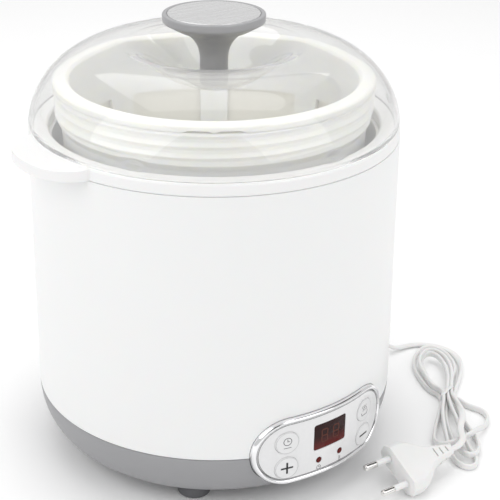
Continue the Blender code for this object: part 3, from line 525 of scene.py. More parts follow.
under = filleted([(0, SEAT_Z, 0), (0.0540, SEAT_Z, 0.0004), (0.0546, SEAT_Z + 0.0007, 0.0004),
                  (0.0590, SEAT_Z + 0.0007, 0.0004), (0.0596, SEAT_Z, 0.0004)], 3)
outer = shoulder(FOOT_R - UNDERSIDE_R, BASE_RIM - SEAT_Z, -90, -2, 26)
lip = filleted([(FOOT_R, BASE_RIM, 0.0004), (FOOT_R - SKIN - 0.0005, BASE_RIM, 0),
                (FOOT_R - SKIN - 0.0005, BASE_RIM + 0.0050, 0.0003),
                (FOOT_R - SKIN - 0.0025, BASE_RIM + 0.0050, 0.0003),
                (FOOT_R - SKIN - 0.0025, BASE_RIM - 0.0030, 0)], 2)
hollow = shoulder(FOOT_R - UNDERSIDE_R - 0.0025, BASE_RIM - SEAT_Z - 0.0025, -20, -90, 14)
base_bm = turned(under + outer + lip + hollow + [(0, SEAT_Z + 0.0025)])
base = finished(base_bm, "grey_base", "housing", grey, ("base_shell",))


def cut(piece, tools):
    """Cut closed shapes out of a piece for good, and throw the tools away."""
    tool = as_object(tools, "tool")
    knife = piece.modifiers.new("Cut", "BOOLEAN")
    knife.operation, knife.solver, knife.object = "DIFFERENCE", "EXACT", tool
    depsgraph = bpy.context.evaluated_depsgraph_get()
    piece.data = bpy.data.meshes.new_from_object(piece.evaluated_get(depsgraph))
    piece.modifiers.clear()
    bpy.data.objects.remove(tool)
    piece.data.set_sharp_from_angle(angle=math.radians(35))


panel_low, panel_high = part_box("panel_bezel")
PANEL_Z = (panel_low[2] + panel_high[2]) / 2
PANEL_HALF = ((panel_high[0] - panel_low[0]) / 2, (panel_high[2] - panel_low[2]) / 2)
PANEL_CREST = AXIS.y - panel_low[1]


def stadium(inset, round_steps=28, straight_steps=24):
    """The panel's outline, (x, z) round its own middle, drawn in by inset."""
    radius = PANEL_HALF[1] - inset
    reach = PANEL_HALF[0] - PANEL_HALF[1]
    points = []
    for side in (1, -1):
        for i in range(round_steps):
            angle = math.radians(-90 + 180 * i / round_steps)
            points.append((side * (reach + radius * math.cos(angle)), side * radius * math.sin(angle)))
        for i in range(straight_steps):
            points.append((side * reach * (1 - 2 * i / straight_steps), side * radius))
    return points


def panel_knife():
    """A straight block through the wall, a little larger than the panel."""
    around = [(AXIS.x + x, PANEL_Z + z) for x, z in stadium(-0.0003)]
    return lofted(bmesh.new(), [[(x, AXIS.y + y, z) for x, z in around] for y in (-0.125, -0.090)])


knife_bm = panel_knife()
bmesh.ops.recalc_face_normals(knife_bm, faces=knife_bm.faces)
cut(base, knife_bm)

# ---- feet and base screws --------------------------------------------
# Four soft grey rubber feet are pulled through holes in the base. Each has a ridged tread, and
# four cross-head screws between them hold the base to the shell's posts.
rubber = Finish("foot_rubber", (0.13, 0.13, 0.138), 0.78, {"Specular IOR Level": 0.35})
rubber.vary("Base Color", rubber.blend(rubber.noise(160, 4), (0.11, 0.11, 0.118), (0.155, 0.155, 0.163)))
rubber.bump(rubber.noise(1200, 3), 0.35, 0.0004)
for number in range(1, 5):
    low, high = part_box(f"foot_{number}")
    foot_r = (high[0] - low[0]) / 2
    tread = [(0, low[2] + 0.0006, 0), (0.0030, low[2] + 0.0006, 0.0002), (0.0034, low[2], 0.0002),
             (0.0050, low[2], 0.0002), (0.0054, low[2] + 0.0006, 0.0002),
             (0.0068, low[2] + 0.0006, 0.0002), (0.0072, low[2], 0.0002)]
    foot_outline = filleted(tread + [(foot_r, low[2], 0.0016), (foot_r, SEAT_Z - 0.0003, 0.0003),
                                     (0.0024, SEAT_Z - 0.0003, 0), (0.0024, high[2], 0.0006),
                                     (0, high[2], 0)])
    middle = middle_of(low, high)
    finished(turned(foot_outline, 72, middle), f"rubber_foot_{number}", "housing",
             rubber, (f"foot_{number}",))

zinc = Finish("zinc_plate", (0.66, 0.66, 0.64), 0.30, {"Metallic": 1.0})
zinc.vary("Roughness", 0.22 + zinc.noise(400, 4) * 0.20)
for number in range(1, 5):
    low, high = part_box(f"base_screw_{number}")
    head_r = (high[0] - low[0]) / 2
    middle = middle_of(low, high)
    screw_outline = filleted([(0, low[2], 0), (head_r * 0.8, low[2], 0.0007),
                              (head_r, SEAT_Z - 0.0003, 0.0002), (0.0017, SEAT_Z - 0.0003, 0),
                              (0.0017, high[2], 0.0004), (0, high[2], 0)])
    screw = finished(turned(screw_outline, 48, middle), f"cross_screw_{number}", "housing",
                     zinc, (f"base_screw_{number}",))
    for turn in (0, 90):
        bar = bmesh.new()
        bmesh.ops.create_cube(bar, size=1.0)
        bmesh.ops.scale(bar, vec=(head_r * 1.25, head_r * 0.32, 0.0024), verts=bar.verts)
        bmesh.ops.rotate(bar, verts=bar.verts, cent=(0, 0, 0),
                         matrix=Matrix.Rotation(math.radians(turn + 20 * number), 3, "Z"))
        bmesh.ops.translate(bar, verts=bar.verts, vec=middle + Vector((0, 0, low[2])))
        cut(screw, bar)

# ---- shell -----------------------------------------------------------
# A plain drum, a touch wider at its foot, moulded in white polypropylene with a fine satin skin.
BODY_TOP_R = 0.1091
white = Finish("white_polypropylene", (0.87, 0.87, 0.868), 0.30, {
    "Subsurface Weight": 0.06, "Subsurface Scale": 0.004})
white.vary("Roughness", 0.25 + white.noise(45, 5) * 0.12)
white.vary("Base Color", white.blend(white.noise(7, 4), (0.855, 0.855, 0.853), (0.880, 0.880, 0.878)))
white.bump(white.noise(1500, 2), 0.10, 0.0002)

SHELL_TOP = shell_high[2]
rows = [shell_low[2] + 0.0034 * i for i in range(1, 9)] + [0.075, 0.09, 0.11, 0.13, 0.15, 0.17, 0.19]
slope = (BODY_TOP_R - FOOT_R) / (SHELL_TOP - shell_low[2])
wall_rows = [(FOOT_R + slope * (z - shell_low[2]), z) for z in rows]
shell_foot = [(FOOT_R - SKIN, shell_low[2], 0), (FOOT_R, shell_low[2], 0.0004), (*wall_rows[0], 0)]
shell_outline = (filleted(shell_foot)[:-1] + wall_rows
                 + filleted([(*wall_rows[-1], 0), (BODY_TOP_R, SHELL_TOP, 0.0006),
                             (BODY_TOP_R - SKIN, SHELL_TOP, 0)])[1:])
shell = finished(turned(shell_outline), "white_shell", "housing", white,
                 ("outer_shell",))
knife_bm = panel_knife()
bmesh.ops.recalc_face_normals(knife_bm, faces=knife_bm.faces)
cut(shell, knife_bm)

# ---- collar with its carrying tab ------------------------------------
# A separate white ring snapped on the drum's rim: the lid rests on it, and one flat tab grows out
# of it as a finger hold, with a faintly dished top.
collar_low, collar_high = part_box("rim_collar")
COLLAR_TOP = collar_high[2]
RING_Z = SHELL_TOP + 0.0003
COLLAR_IN = 0.0968
TAB_REACH = AXIS.x - collar_low[0]
TAB_MIDDLE = math.radians(178.0)
TAB_SPREAD = math.radians(17.9)
TAB_SQUARENESS, TAB_FULLNESS = 2.78, 0.78
SKIRT_R = BODY_TOP_R - SKIN - 0.0005
EDGE_R = BODY_TOP_R - 0.0020
top_rows = [(EDGE_R + (BODY_TOP_R - 0.0009 - EDGE_R) * i / 6, COLLAR_TOP - 0.0002 * (i / 6) ** 2, 0)
            for i in range(1, 6)]
collar_outline = filleted(
    [(COLLAR_IN, RING_Z, 0.0003), (SKIRT_R - 0.002, RING_Z, 0), (SKIRT_R - 0.002, RING_Z - 0.008, 0),
     (SKIRT_R, RING_Z - 0.008, 0), (SKIRT_R, RING_Z, 0), (BODY_TOP_R - 0.0004, RING_Z, 0),
     (BODY_TOP_R, RING_Z + 0.0010, 0.0008), (BODY_TOP_R - 0.0004, COLLAR_TOP - 0.0010, 0.0009)]
    + top_rows[::-1] + [(EDGE_R, COLLAR_TOP, 0), (COLLAR_IN + 0.0012, COLLAR_TOP, 0.0006),
                        (COLLAR_IN, COLLAR_TOP - 0.0012, 0.0006)])
collar_bm = turned(collar_outline, 360, Vector())
for vert in collar_bm.verts:
    radius = math.hypot(vert.co.x, vert.co.y)
    angle = math.atan2(vert.co.y, vert.co.x) % math.tau
    share = (angle - TAB_MIDDLE) / TAB_SPREAD
    if abs(share) < 1 and radius > SKIRT_R + 0.0001:
        share = math.sin(math.pi / 2 * share)
        angle = TAB_MIDDLE + TAB_SPREAD * share
        bulge = max(0.0, 1 - abs(share) ** TAB_SQUARENESS) ** TAB_FULLNESS
        push = (TAB_REACH - BODY_TOP_R) * bulge
        if vert.co.z > COLLAR_TOP - 0.0003:
            way_out = min(1.0, max(0.0, (radius - EDGE_R) / (BODY_TOP_R - 0.0009 - EDGE_R)))
            vert.co.z -= 0.0011 * math.sin(math.pi * way_out) * bulge
        else:
            way_out = 1.0
        radius += push * way_out
        vert.co.x, vert.co.y = radius * math.cos(angle), radius * math.sin(angle)
bmesh.ops.translate(collar_bm, verts=collar_bm.verts, vec=AXIS)
finished(collar_bm, "collar_with_tab", "housing", white, ("rim_collar",))

# ---- heated chamber --------------------------------------------------
# A deep-drawn aluminium cup, hung from its rim under the collar. The container stands in it, and
# a flat heater with its sensor and fuse is pressed to its floor from below.
chamber_low, chamber_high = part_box("heating_chamber")
CHAMBER_R = 0.0950
DRAWN = 0.0012
drawn = Finish("drawn_aluminium", (0.84, 0.835, 0.82), 0.34, {"Metallic": 1.0})
drawn.vary("Roughness", 0.28 + drawn.noise(60, 4, (1, 1, 40)) * 0.18)
drawn.bump(drawn.noise(40, 3, (1, 1, 60)), 0.08, 0.0003)
chamber_outline = filleted(
    [(0, chamber_low[2], 0), (CHAMBER_R + DRAWN - 0.005, chamber_low[2], 0.002),
     (CHAMBER_R + DRAWN, chamber_low[2] + 0.005, 0.002), (CHAMBER_R + DRAWN, chamber_high[2] - DRAWN, 0),
     (0.1035, chamber_high[2] - DRAWN, 0), (0.1035, chamber_high[2], 0),
     (CHAMBER_R, chamber_high[2], 0.0008), (CHAMBER_R, chamber_low[2] + 0.0055, 0.002),
     (CHAMBER_R - 0.0045, chamber_low[2] + DRAWN, 0.002), (0.061, chamber_low[2] + DRAWN, 0.001),
     (0.060, chamber_low[2] + DRAWN + 0.0002, 0), (0, chamber_low[2] + DRAWN + 0.0002, 0)])
finished(turned(chamber_outline, 160), "drawn_chamber", "housing", drawn,
         ("heating_chamber",))

# ---- working parts inside the base -----------------------------------
# Bought-in parts that nobody sees unless the base comes off: heater, sensor, fuse, two green boards
# and what is soldered to them. Their plain bodies are right as they are; they take real finishes.
solder_mask = Finish("solder_mask", (0.03, 0.16, 0.07), 0.42)
tracks = solder_mask.node("ShaderNodeTexBrick", {"offset": 0.5}, {
    "Vector": solder_mask.place(), "Scale": 260.0, "Mortar Size": 0.03,
    "Color1": (0.0, 0.0, 0.0), "Color2": (0.35, 0.35, 0.35), "Mortar": (1.0, 1.0, 1.0)})
solder_mask.vary("Base Color", solder_mask.blend(tracks, (0.02, 0.13, 0.055), (0.07, 0.26, 0.11)))
black_moulding = Finish("black_moulding", (0.02, 0.02, 0.02), 0.45)
black_moulding.vary("Roughness", 0.38 + black_moulding.noise(200) * 0.2)
for nodes, finish in ((("heating_plate",), drawn), (("temperature_sensor", "thermal_fuse"), zinc),
                      (("power_board", "control_board"), solder_mask),
                      (("transformer", "relay", "display_module", "terminal_block", "switch_set",
                        "switch_plus", "switch_heat", "switch_minus"), black_moulding)):
    for node in nodes:
        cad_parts[node].data.materials.clear()
        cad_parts[node].data.materials.append(finish.material)

# ---- panel bezel -----------------------------------------------------
# A bright chromed frame, half round in section and bent to the drum, that clips round the panel.
chrome = Finish("chromed_plastic", (0.90, 0.90, 0.91), 0.05, {"Metallic": 1.0})
chrome.vary("Roughness", 0.03 + chrome.noise(70, 4) * 0.05)
BEZEL_WIDTH = 0.0027
BEZEL_BACK = 0.1040
FACE_OUT = 0.1126


def bend(bm):
    """Bend a flat panel piece, built at y = -radius, to that radius round the tub's axis."""
    for vert in bm.verts:
        x, radius = vert.co.x, -vert.co.y
        vert.co = Vector((AXIS.x + x, AXIS.y - math.sqrt(radius * radius - x * x), PANEL_Z + vert.co.z))
    return bm


bezel_steps = [(0.0, BEZEL_BACK), (0.0, PANEL_CREST - 0.0016), (0.00012, PANEL_CREST - 0.0010),
               (0.0004, PANEL_CREST - 0.00045), (0.0008, PANEL_CREST - 0.0001),
               (0.0012, PANEL_CREST), (0.0016, PANEL_CREST - 0.00012),
               (0.0020, PANEL_CREST - 0.0004), (0.00235, PANEL_CREST - 0.0008),
               (0.0026, PANEL_CREST - 0.0013), (BEZEL_WIDTH, PANEL_CREST - 0.0018),
               (BEZEL_WIDTH, BEZEL_BACK)]
bezel_rings = [[(x, -radius, z) for x, z in stadium(inset)] for inset, radius in bezel_steps]
bezel_bm = lofted(bmesh.new(), bezel_rings, closed=True)
finished(bend(bezel_bm), "chrome_bezel", "housing", chrome, ("panel_bezel",), sharp=60)

# ---- panel face ------------------------------------------------------
# A glossy pearl-grey plate under a clear lacquer, with holes for the display, lamps and keys.
pearl = Finish("pearl_face", (0.80, 0.80, 0.805), 0.16, {"Coat Weight": 0.5, "Coat Roughness": 0.05})
pearl.vary("Base Color", pearl.blend(pearl.noise(500, 5), (0.775, 0.775, 0.78), (0.83, 0.83, 0.835)))
pearl.vary("Roughness", 0.14 + pearl.noise(90, 4) * 0.08)
KEY_R = 0.0072
LAMP_R = 0.0018
window_low, window_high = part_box("display_window")
WINDOW_HALF = ((window_high[0] - window_low[0]) / 2, (window_high[2] - window_low[2]) / 2)
WINDOW_Z = (window_low[2] + window_high[2]) / 2 - PANEL_Z
BUTTONS = ("set", "plus", "heat", "minus")
LAMPS = ("time", "temp")
panel_middles = {}
for node in [f"button_{key}" for key in BUTTONS] + [f"lamp_lens_{lamp}" for lamp in LAMPS]:
    low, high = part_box(node)
    panel_middles[node.split("_")[-1]] = ((low[0] + high[0]) / 2 - AXIS.x,
                                          (low[2] + high[2]) / 2 - PANEL_Z)


def circle(middle, radius, count=48):
    return [(middle[0] + radius * math.cos(math.tau * i / count),
             middle[1] + radius * math.sin(math.tau * i / count)) for i in range(count)]


def plate(bm, outlines, back, front, round_edge=0.0):
    """A flat plate with holes, from y = -back to y = -front. The first outline is its own rim."""
    edges = []
    for outline in outlines:
        ring = [bm.verts.new((x, -back, z)) for x, z in outline]
        edges += [bm.edges.new(pair) for pair in zip(ring, ring[1:] + ring[:1])]
    faces = bmesh.ops.triangle_fill(bm, edges=edges, use_beauty=True)["geom"]
    faces = [f for f in faces if isinstance(f, bmesh.types.BMFace)]
    raised = bmesh.ops.extrude_face_region(bm, geom=faces, use_keep_orig=True)["geom"]
    top = [v for v in raised if isinstance(v, bmesh.types.BMVert)]
    bmesh.ops.translate(bm, verts=top, vec=(0, back - front, 0))
    if round_edge:
        tops = set(top)
        rim = [e for e in bm.edges if e.verts[0] in tops and e.verts[1] in tops
               and any(f.normal.y < -0.5 or not all(v in tops for v in f.verts) for f in e.link_faces)
               and sum(all(v in tops for v in f.verts) for f in e.link_faces) == 1]
        bmesh.ops.bevel(bm, geom=rim, offset=round_edge, segments=3, profile=0.5, affect="EDGES",
                        material=-1)
    return bm


def strips(bm, width=0.0015):
    """Slice a flat piece in upright strips, so that it bends smoothly."""
    span = max(abs(v.co.x) for v in bm.verts)
    for i in range(-int(span / width), int(span / width) + 1):
        bmesh.ops.bisect_plane(bm, geom=bm.verts[:] + bm.edges[:] + bm.faces[:], dist=1e-7,
                               plane_co=(i * width, 0, 0), plane_no=(1, 0, 0))
    return bm


def rounded_loop(half_y, half_z, corner, count=6):
    """A rectangle with round corners, (y, z), starting at its right side."""
    corner = min(corner, half_y * 0.98, half_z * 0.98)
    points = []
    for sy, sz, start in ((1, 1, 0), (-1, 1, 90), (-1, -1, 180), (1, -1, 270)):
        for i in range(count + 1):
            angle = math.radians(start + 90 * i / count)
            points.append((sy * (half_y - corner) + corner * math.cos(angle),
                           sz * (half_z - corner) + corner * math.sin(angle)))
    return points


def window_outline(grow=0.0):
    half_x, half_z = WINDOW_HALF[0] + grow, WINDOW_HALF[1] + grow
    return [(x, WINDOW_Z + z) for x, z in rounded_loop(half_x, half_z, 0.0012 + grow, 5)]


holes = ([window_outline(0.00025)]
         + [circle(panel_middles[key], KEY_R + 0.00012) for key in BUTTONS]
         + [circle(panel_middles[lamp], LAMP_R + 0.0002, 28) for lamp in LAMPS])
face_bm = plate(bmesh.new(), [stadium(BEZEL_WIDTH + 0.0003)] + holes, 0.1102, FACE_OUT, 0.00012)
finished(bend(strips(face_bm)), "pearl_panel", "housing", pearl, ("panel_face",))

# ---- display ---------------------------------------------------------
# A smoked red lens, flush with the plate. Two unlit seven-bar digits show faintly through it.
# Its red is painted lighter towards its lower edge: painted glow.
lens = Finish("smoked_lens", (0.040, 0.004, 0.004), 0.08, {"Specular IOR Level": 0.2})
height = lens.node("ShaderNodeSeparateXYZ", None, {"Vector": lens.place()}, out=2)
# Painted glow: the lens colour brightens from just above its middle down to its lower edge.
painted_lower_glow = lens.node("ShaderNodeMapRange", {"interpolation_type": "SMOOTHSTEP"}, {
    0: height, 1: PANEL_Z + WINDOW_Z + 0.001, 2: PANEL_Z + WINDOW_Z - 0.0080, 3: 0.0, 4: 1.0})
lens.vary("Base Color", lens.blend(painted_lower_glow, (0.022, 0.003, 0.003), (0.105, 0.008, 0.006)))
window_bm = plate(bmesh.new(), [window_outline()], 0.1108, FACE_OUT - 0.00005, 0.00015)
finished(bend(strips(window_bm)), "red_lens", "housing", lens, ("display_window",))

ghost = Finish("unlit_bars", (0.085, 0.020, 0.012), 0.12, {"Specular IOR Level": 0.2})
ghost.vary("Base Color", ghost.blend(ghost.noise(300), (0.070, 0.016, 0.010), (0.105, 0.026, 0.014)))
DIGIT_HALF = (0.0022, 0.0042)
BAR = 0.00045


def bar(bm, start, end, half, front, back):
    """A thin flat bar with pointed ends between two places on the panel."""
    a, b = Vector(start), Vector(end)
    along = (b - a).normalized()
    across = Vector((-along.y, along.x))
    outline = [a, a + along * half + across * half, b - along * half + across * half, b,
               b - along * half - across * half, a + along * half - across * half]
    lofted(bm, [[(p.x, -radius, p.y) for p in outline] for radius in (back, front)])


ghost_bm = bmesh.new()
for middle in (-0.0043, 0.0043):
    x, z = DIGIT_HALF
    spots = {"top": ((-x, z), (x, z)), "centre": ((-x, 0), (x, 0)), "foot": ((-x, -z), (x, -z)),
             "left_up": ((-x, 0), (-x, z)), "left_down": ((-x, -z), (-x, 0)),
             "right_up": ((x, 0), (x, z)), "right_down": ((x, -z), (x, 0))}
    for (x0, z0), (x1, z1) in spots.values():
        bar(ghost_bm, (middle + x0 * 0.94, WINDOW_Z + z0 * 0.97), (middle + x1 * 0.94, WINDOW_Z + z1 * 0.97),
            BAR, FACE_OUT + 0.00001, FACE_OUT - 0.0002)
finished(bend(ghost_bm), "digit_bars", "housing", ghost)

# ---- lamps -----------------------------------------------------------
# Two round light pipes in dark red acrylic, one for the clock and one for the temperature.
for lamp in LAMPS:
    lamp_bm = plate(bmesh.new(), [circle(panel_middles[lamp], LAMP_R, 28)], 0.1000,
                    FACE_OUT + 0.0003, 0.0004)
    finished(bend(lamp_bm), f"red_lamp_{lamp}", "housing", lens, (f"lamp_lens_{lamp}",))

# ---- keys ------------------------------------------------------------
# Round caps in the same pearl-grey plastic, standing barely proud of the plate, each on a peg that
# presses a switch. Black marks are printed on them, and a thin grey ring is drawn just inside each cap's
# edge.


def mark_finish(name, colour):
    made = Finish(name, colour, 0.40)
    made.vary("Roughness", 0.32 + made.noise(300) * 0.15)
    return made


ink = mark_finish("black_ink", (0.012, 0.012, 0.014))
grey_ink = mark_finish("grey_ink", (0.10, 0.10, 0.105))
key_edge_grey = mark_finish("key_edge_grey", (0.50, 0.50, 0.51))
KEY_TOP = 0.1132
PRINT = 0.00004
BAR_LENGTH = 0.0006


def stroke(bm, points, half, front, closed=False):
    """A line of even width, laid as flat bars short enough to follow the panel's bend."""
    pairs = list(zip(points, points[1:])) + ([(points[-1], points[0])] if closed else [])
    for start, end in pairs:
        whole = Vector(end) - Vector(start)
        count = math.ceil(whole.length / BAR_LENGTH)
        along = whole.normalized() * half * 0.6
        across = Vector((-along.y, along.x)) / 0.6
        for i in range(count):
            a, b = Vector(start) + whole * (i / count), Vector(start) + whole * ((i + 1) / count)
            outline = [a - along + across, b + along + across, b + along - across, a - along - across]
            lofted(bm, [[(p.x, -radius, p.y) for p in outline] for radius in (front - 0.0001, front)])


def arc_points(middle, radius, start, end, count):
    angles = [math.radians(start + (end - start) * i / count) for i in range(count + 1)]
    return [(middle[0] + radius * math.cos(a), middle[1] + radius * math.sin(a)) for a in angles]


for key in BUTTONS:
    middle = panel_middles[key]
    cap_bm = plate(bmesh.new(), [circle(middle, KEY_R)], 0.1085, KEY_TOP, 0.00030)
    flange_bm = plate(bmesh.new(), [circle(middle, 0.0079)], 0.1080, 0.1099)
    for part in (flange_bm, plate(bmesh.new(), [circle(middle, 0.0025, 24)], 0.1026, 0.1082)):
        mesh = bpy.data.meshes.new("part")
        part.to_mesh(mesh)
        part.free()
        cap_bm.from_mesh(mesh)
        bpy.data.meshes.remove(mesh)
    finished(bend(strips(cap_bm)), f"key_cap_{key}", f"key_{key}", pearl,
             (f"button_{key}",))
    rim_bm = bmesh.new()
    # A thin grey ring drawn just inside the cap's edge.
    stroke(rim_bm, circle(middle, KEY_R - 0.0004, 60), 0.00011, KEY_TOP + PRINT, closed=True)
    finished(bend(rim_bm), f"key_ring_{key}", f"key_{key}", key_edge_grey)
    mark_bm = bmesh.new()
    x, z = middle
    front = KEY_TOP + PRINT
    mark_ink = ink
    if key in ("plus", "minus"):
        stroke(mark_bm, [(x - 0.0034, z), (x + 0.0034, z)], 0.00055, front)
    if key == "plus":
        stroke(mark_bm, [(x, z - 0.0034), (x, z + 0.0034)], 0.00055, front)
    if key == "set":
        mark_ink = grey_ink
        stroke(mark_bm, arc_points((x, z + 0.0010), 0.0024, 0, 360, 28), 0.00020, front)
        stroke(mark_bm, [(x, z + 0.0025), (x, z + 0.0010), (x + 0.0012, z + 0.0010)], 0.00020, front)
        stroke(mark_bm, [(x - 0.0022, z - 0.0032), (x + 0.0022, z - 0.0032)], 0.00018, front)
    if key == "heat":
        mark_ink = grey_ink
        for shift in (-0.0016, 0.0, 0.0016):
            wave = [(x + shift + 0.0005 * math.sin(math.tau * i / 10), z + 0.0036 * i / 10 - 0.0002)
                    for i in range(11)]
            stroke(mark_bm, wave, 0.00018, front)
        stroke(mark_bm, [(x - 0.0031, z - 0.0012), (x - 0.0024, z - 0.0031), (x + 0.0024, z - 0.0031),
                         (x + 0.0031, z - 0.0012)], 0.00020, front)
    finished(bend(mark_bm), f"key_mark_{key}", f"key_{key}", mark_ink)

label_bm = bmesh.new()
x, z = panel_middles["time"][0], panel_middles["time"][1] - 0.0050
stroke(label_bm, arc_points((x, z), 0.0014, 0, 360, 20), 0.00016, FACE_OUT + PRINT)
stroke(label_bm, [(x, z + 0.0009), (x, z), (x + 0.0007, z)], 0.00015, FACE_OUT + PRINT)
x = panel_middles["temp"][0]
stroke(label_bm, [(x - 0.0004, z + 0.0016), (x - 0.0004, z - 0.0004)], 0.00015, FACE_OUT + PRINT)
stroke(label_bm, [(x + 0.0004, z + 0.0016), (x + 0.0004, z - 0.0004)], 0.00015, FACE_OUT + PRINT)
stroke(label_bm, arc_points((x, z - 0.0010), 0.0007, 120, 420, 14), 0.00015, FACE_OUT + PRINT)
stroke(label_bm, stadium(BEZEL_WIDTH + 0.0006), 0.00014, FACE_OUT + PRINT, closed=True)
finished(bend(label_bm), "panel_marks", "housing", grey_ink)

# ---- lift-out container ----------------------------------------------
# A deep pot in cream food-grade polypropylene. Its neck carries a screw thread for a storage lid,
# and light soaks a little way into the plastic.
cream = Finish("cream_polypropylene", (0.93, 0.915, 0.84), 0.34, {
    "Subsurface Weight": 0.5, "Subsurface Radius": (1.0, 0.8, 0.4), "Subsurface Scale": 0.008})
cream.vary("Base Color", cream.blend(cream.noise(14, 4), (0.92, 0.905, 0.82), (0.94, 0.925, 0.86)))
cream.vary("Roughness", 0.28 + cream.noise(80, 4) * 0.14)
cream.bump(cream.noise(1100, 2), 0.10, 0.0002)
POT_TOP = pot_high[2]
NECK_R, CREST_R = 0.0916, 0.0930
PITCH = 0.00605
POT_R, POT_SKIN, POT_FOOT_R = 0.0892, 0.0022, 0.0800
NECK_FOOT = POT_TOP - 3 * PITCH
neck_rows = [(NECK_R, NECK_FOOT + 0.00042 * i, 0) for i in range(0, 43)]
pot_outline = filleted(
    [(0, pot_low[2] + 0.0008, 0), (0.066, pot_low[2] + 0.0008, 0.0006), (0.068, pot_low[2], 0.0006),
     (POT_FOOT_R + 0.0055, pot_low[2], 0.0045), (POT_R - 0.002, pot_low[2] + 0.012, 0.003),
     (POT_R, NECK_FOOT - 0.004, 0.001), (NECK_R, NECK_FOOT - 0.0002, 0.0006)]
    + neck_rows + [(CREST_R - 0.0008, POT_TOP, 0.0003), (POT_R - POT_SKIN, POT_TOP, 0.0005),
                   (POT_R - POT_SKIN, NECK_FOOT - 0.006, 0.001),
                   (POT_R - 0.002 - POT_SKIN, pot_low[2] + 0.013, 0.003),
                   (POT_FOOT_R + 0.004, pot_low[2] + POT_SKIN, 0.004), (0, pot_low[2] + POT_SKIN, 0)], 4)
pot_bm = turned(pot_outline, 216, Vector())
for vert in pot_bm.verts:
    radius = math.hypot(vert.co.x, vert.co.y)
    if radius > NECK_R - 0.0001 and NECK_FOOT - 0.0001 < vert.co.z < POT_TOP - 0.00005:
        climb = (vert.co.z - NECK_FOOT) / PITCH - (math.atan2(vert.co.y, vert.co.x) / math.tau + 0.65) % 1
        ridge = max(0.0, min(1.0, 2.6 * (0.34 - abs(climb - math.floor(climb) - 0.5))))
        ends = max(0.0, min(1.0, (climb + 0.15) * 6)) * max(0.0, min(1.0, (2.95 - climb) * 6))
        grown = NECK_R + (CREST_R - NECK_R) * ridge * ends
        vert.co.x, vert.co.y = vert.co.x * grown / radius, vert.co.y * grown / radius
bmesh.ops.translate(pot_bm, verts=pot_bm.verts, vec=AXIS)
finished(pot_bm, "cream_container", "container", cream, ("inner_container",))

# ---- strainer basket -------------------------------------------------
# An open cage in the same cream plastic, hung by its flange on the container's rim. Eight broad ribs
# and three hoops frame two rows of windows, and small notches under the flange let steam out.
basket_low, basket_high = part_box("strainer_basket")
FLANGE_UNDER = POT_TOP + 0.0003
CAGE_OUT, CAGE_IN = 0.0856, 0.0834
CAGE_TAPER = 0.0080
RIBS = 8
STEPS_PER_BAY = 22
RIB_TURN = math.radians(53.2)
RIB_STEPS = 3
WINDOW_ROWS = ((0.0770, 0.1350), (0.1420, 0.2010))


def cage_radius(top_radius, z):
    down = (FLANGE_UNDER - z) / (FLANGE_UNDER - basket_low[2])
    return top_radius - CAGE_TAPER * down


window_heights = [z for row in WINDOW_ROWS for z in row]
cage_rows_out = [(cage_radius(CAGE_OUT, z), z, 0) for z in window_heights]
cage_rows_in = [(cage_radius(CAGE_IN, z), z, 0) for z in reversed(window_heights)]
cage_outline = filleted(
    [(0, basket_low[2], 0), (CAGE_OUT - 0.010, basket_low[2], 0.001),
     (CAGE_OUT - CAGE_TAPER, basket_low[2] + 0.002, 0.001)] + cage_rows_out
    + [(CAGE_OUT, FLANGE_UNDER, 0.0004), (CREST_R, FLANGE_UNDER, 0.0004),
       (CREST_R, basket_high[2] - 0.0012, 0.0007), (CREST_R - 0.0014, basket_high[2], 0.0008),
       (CAGE_IN + 0.0018, basket_high[2], 0.0008), (CAGE_IN, basket_high[2] - 0.0016, 0.0008)]
    + cage_rows_in + [(CAGE_IN - 0.0080, basket_low[2] + 0.0040, 0.002),
                      (CAGE_IN - 0.0110, basket_low[2] + 0.0022, 0.002), (0, basket_low[2] + 0.0022, 0)])
cage_bm = turned(cage_outline, RIBS * STEPS_PER_BAY, Vector())
in_window = []
for face in cage_bm.faces:
    middle = face.calc_center_median()
    radius = math.hypot(middle.x, middle.y)
    step = math.atan2(middle.y, middle.x) / math.tau * RIBS * STEPS_PER_BAY % STEPS_PER_BAY
    open_step = RIB_STEPS < step < STEPS_PER_BAY - RIB_STEPS
    if open_step and radius > 0.07 and any(low < middle.z < high for low, high in WINDOW_ROWS):
        in_window.append(face)
bmesh.ops.delete(cage_bm, geom=in_window, context="FACES")
open_edges = {edge for edge in cage_bm.edges if edge.is_boundary}
window_rims = {}
while open_edges:
    loop, growing = set(), [open_edges.pop()]
    while growing:
        edge = growing.pop()
        loop.add(edge)
        for vert in edge.verts:
            for other in vert.link_edges:
                if other in open_edges:
                    open_edges.remove(other)
                    growing.append(other)
    middle = sum((v.co for e in loop for v in e.verts), Vector()) / (2 * len(loop))
    key = (round(math.atan2(middle.y, middle.x) / math.tau * RIBS, 1), round(middle.z, 3))
    window_rims.setdefault(key, []).extend(loop)
for loops in window_rims.values():
    bmesh.ops.bridge_loops(cage_bm, edges=loops)
for vert in cage_bm.verts:
    radius = math.hypot(vert.co.x, vert.co.y)
    turn = math.degrees(math.atan2(vert.co.y, vert.co.x)) % 90
    off_rib = min(turn, 90 - turn)
    if vert.co.z < FLANGE_UNDER + 0.0006 and radius > CAGE_OUT + 0.0008 and 0.8 < off_rib < 9.5:
        vert.co.z += 0.0011
bmesh.ops.rotate(cage_bm, verts=cage_bm.verts, cent=(0, 0, 0), matrix=Matrix.Rotation(RIB_TURN, 3, "Z"))
bmesh.ops.translate(cage_bm, verts=cage_bm.verts, vec=AXIS)
finished(cage_bm, "cream_basket", "basket", cream, ("strainer_basket",))

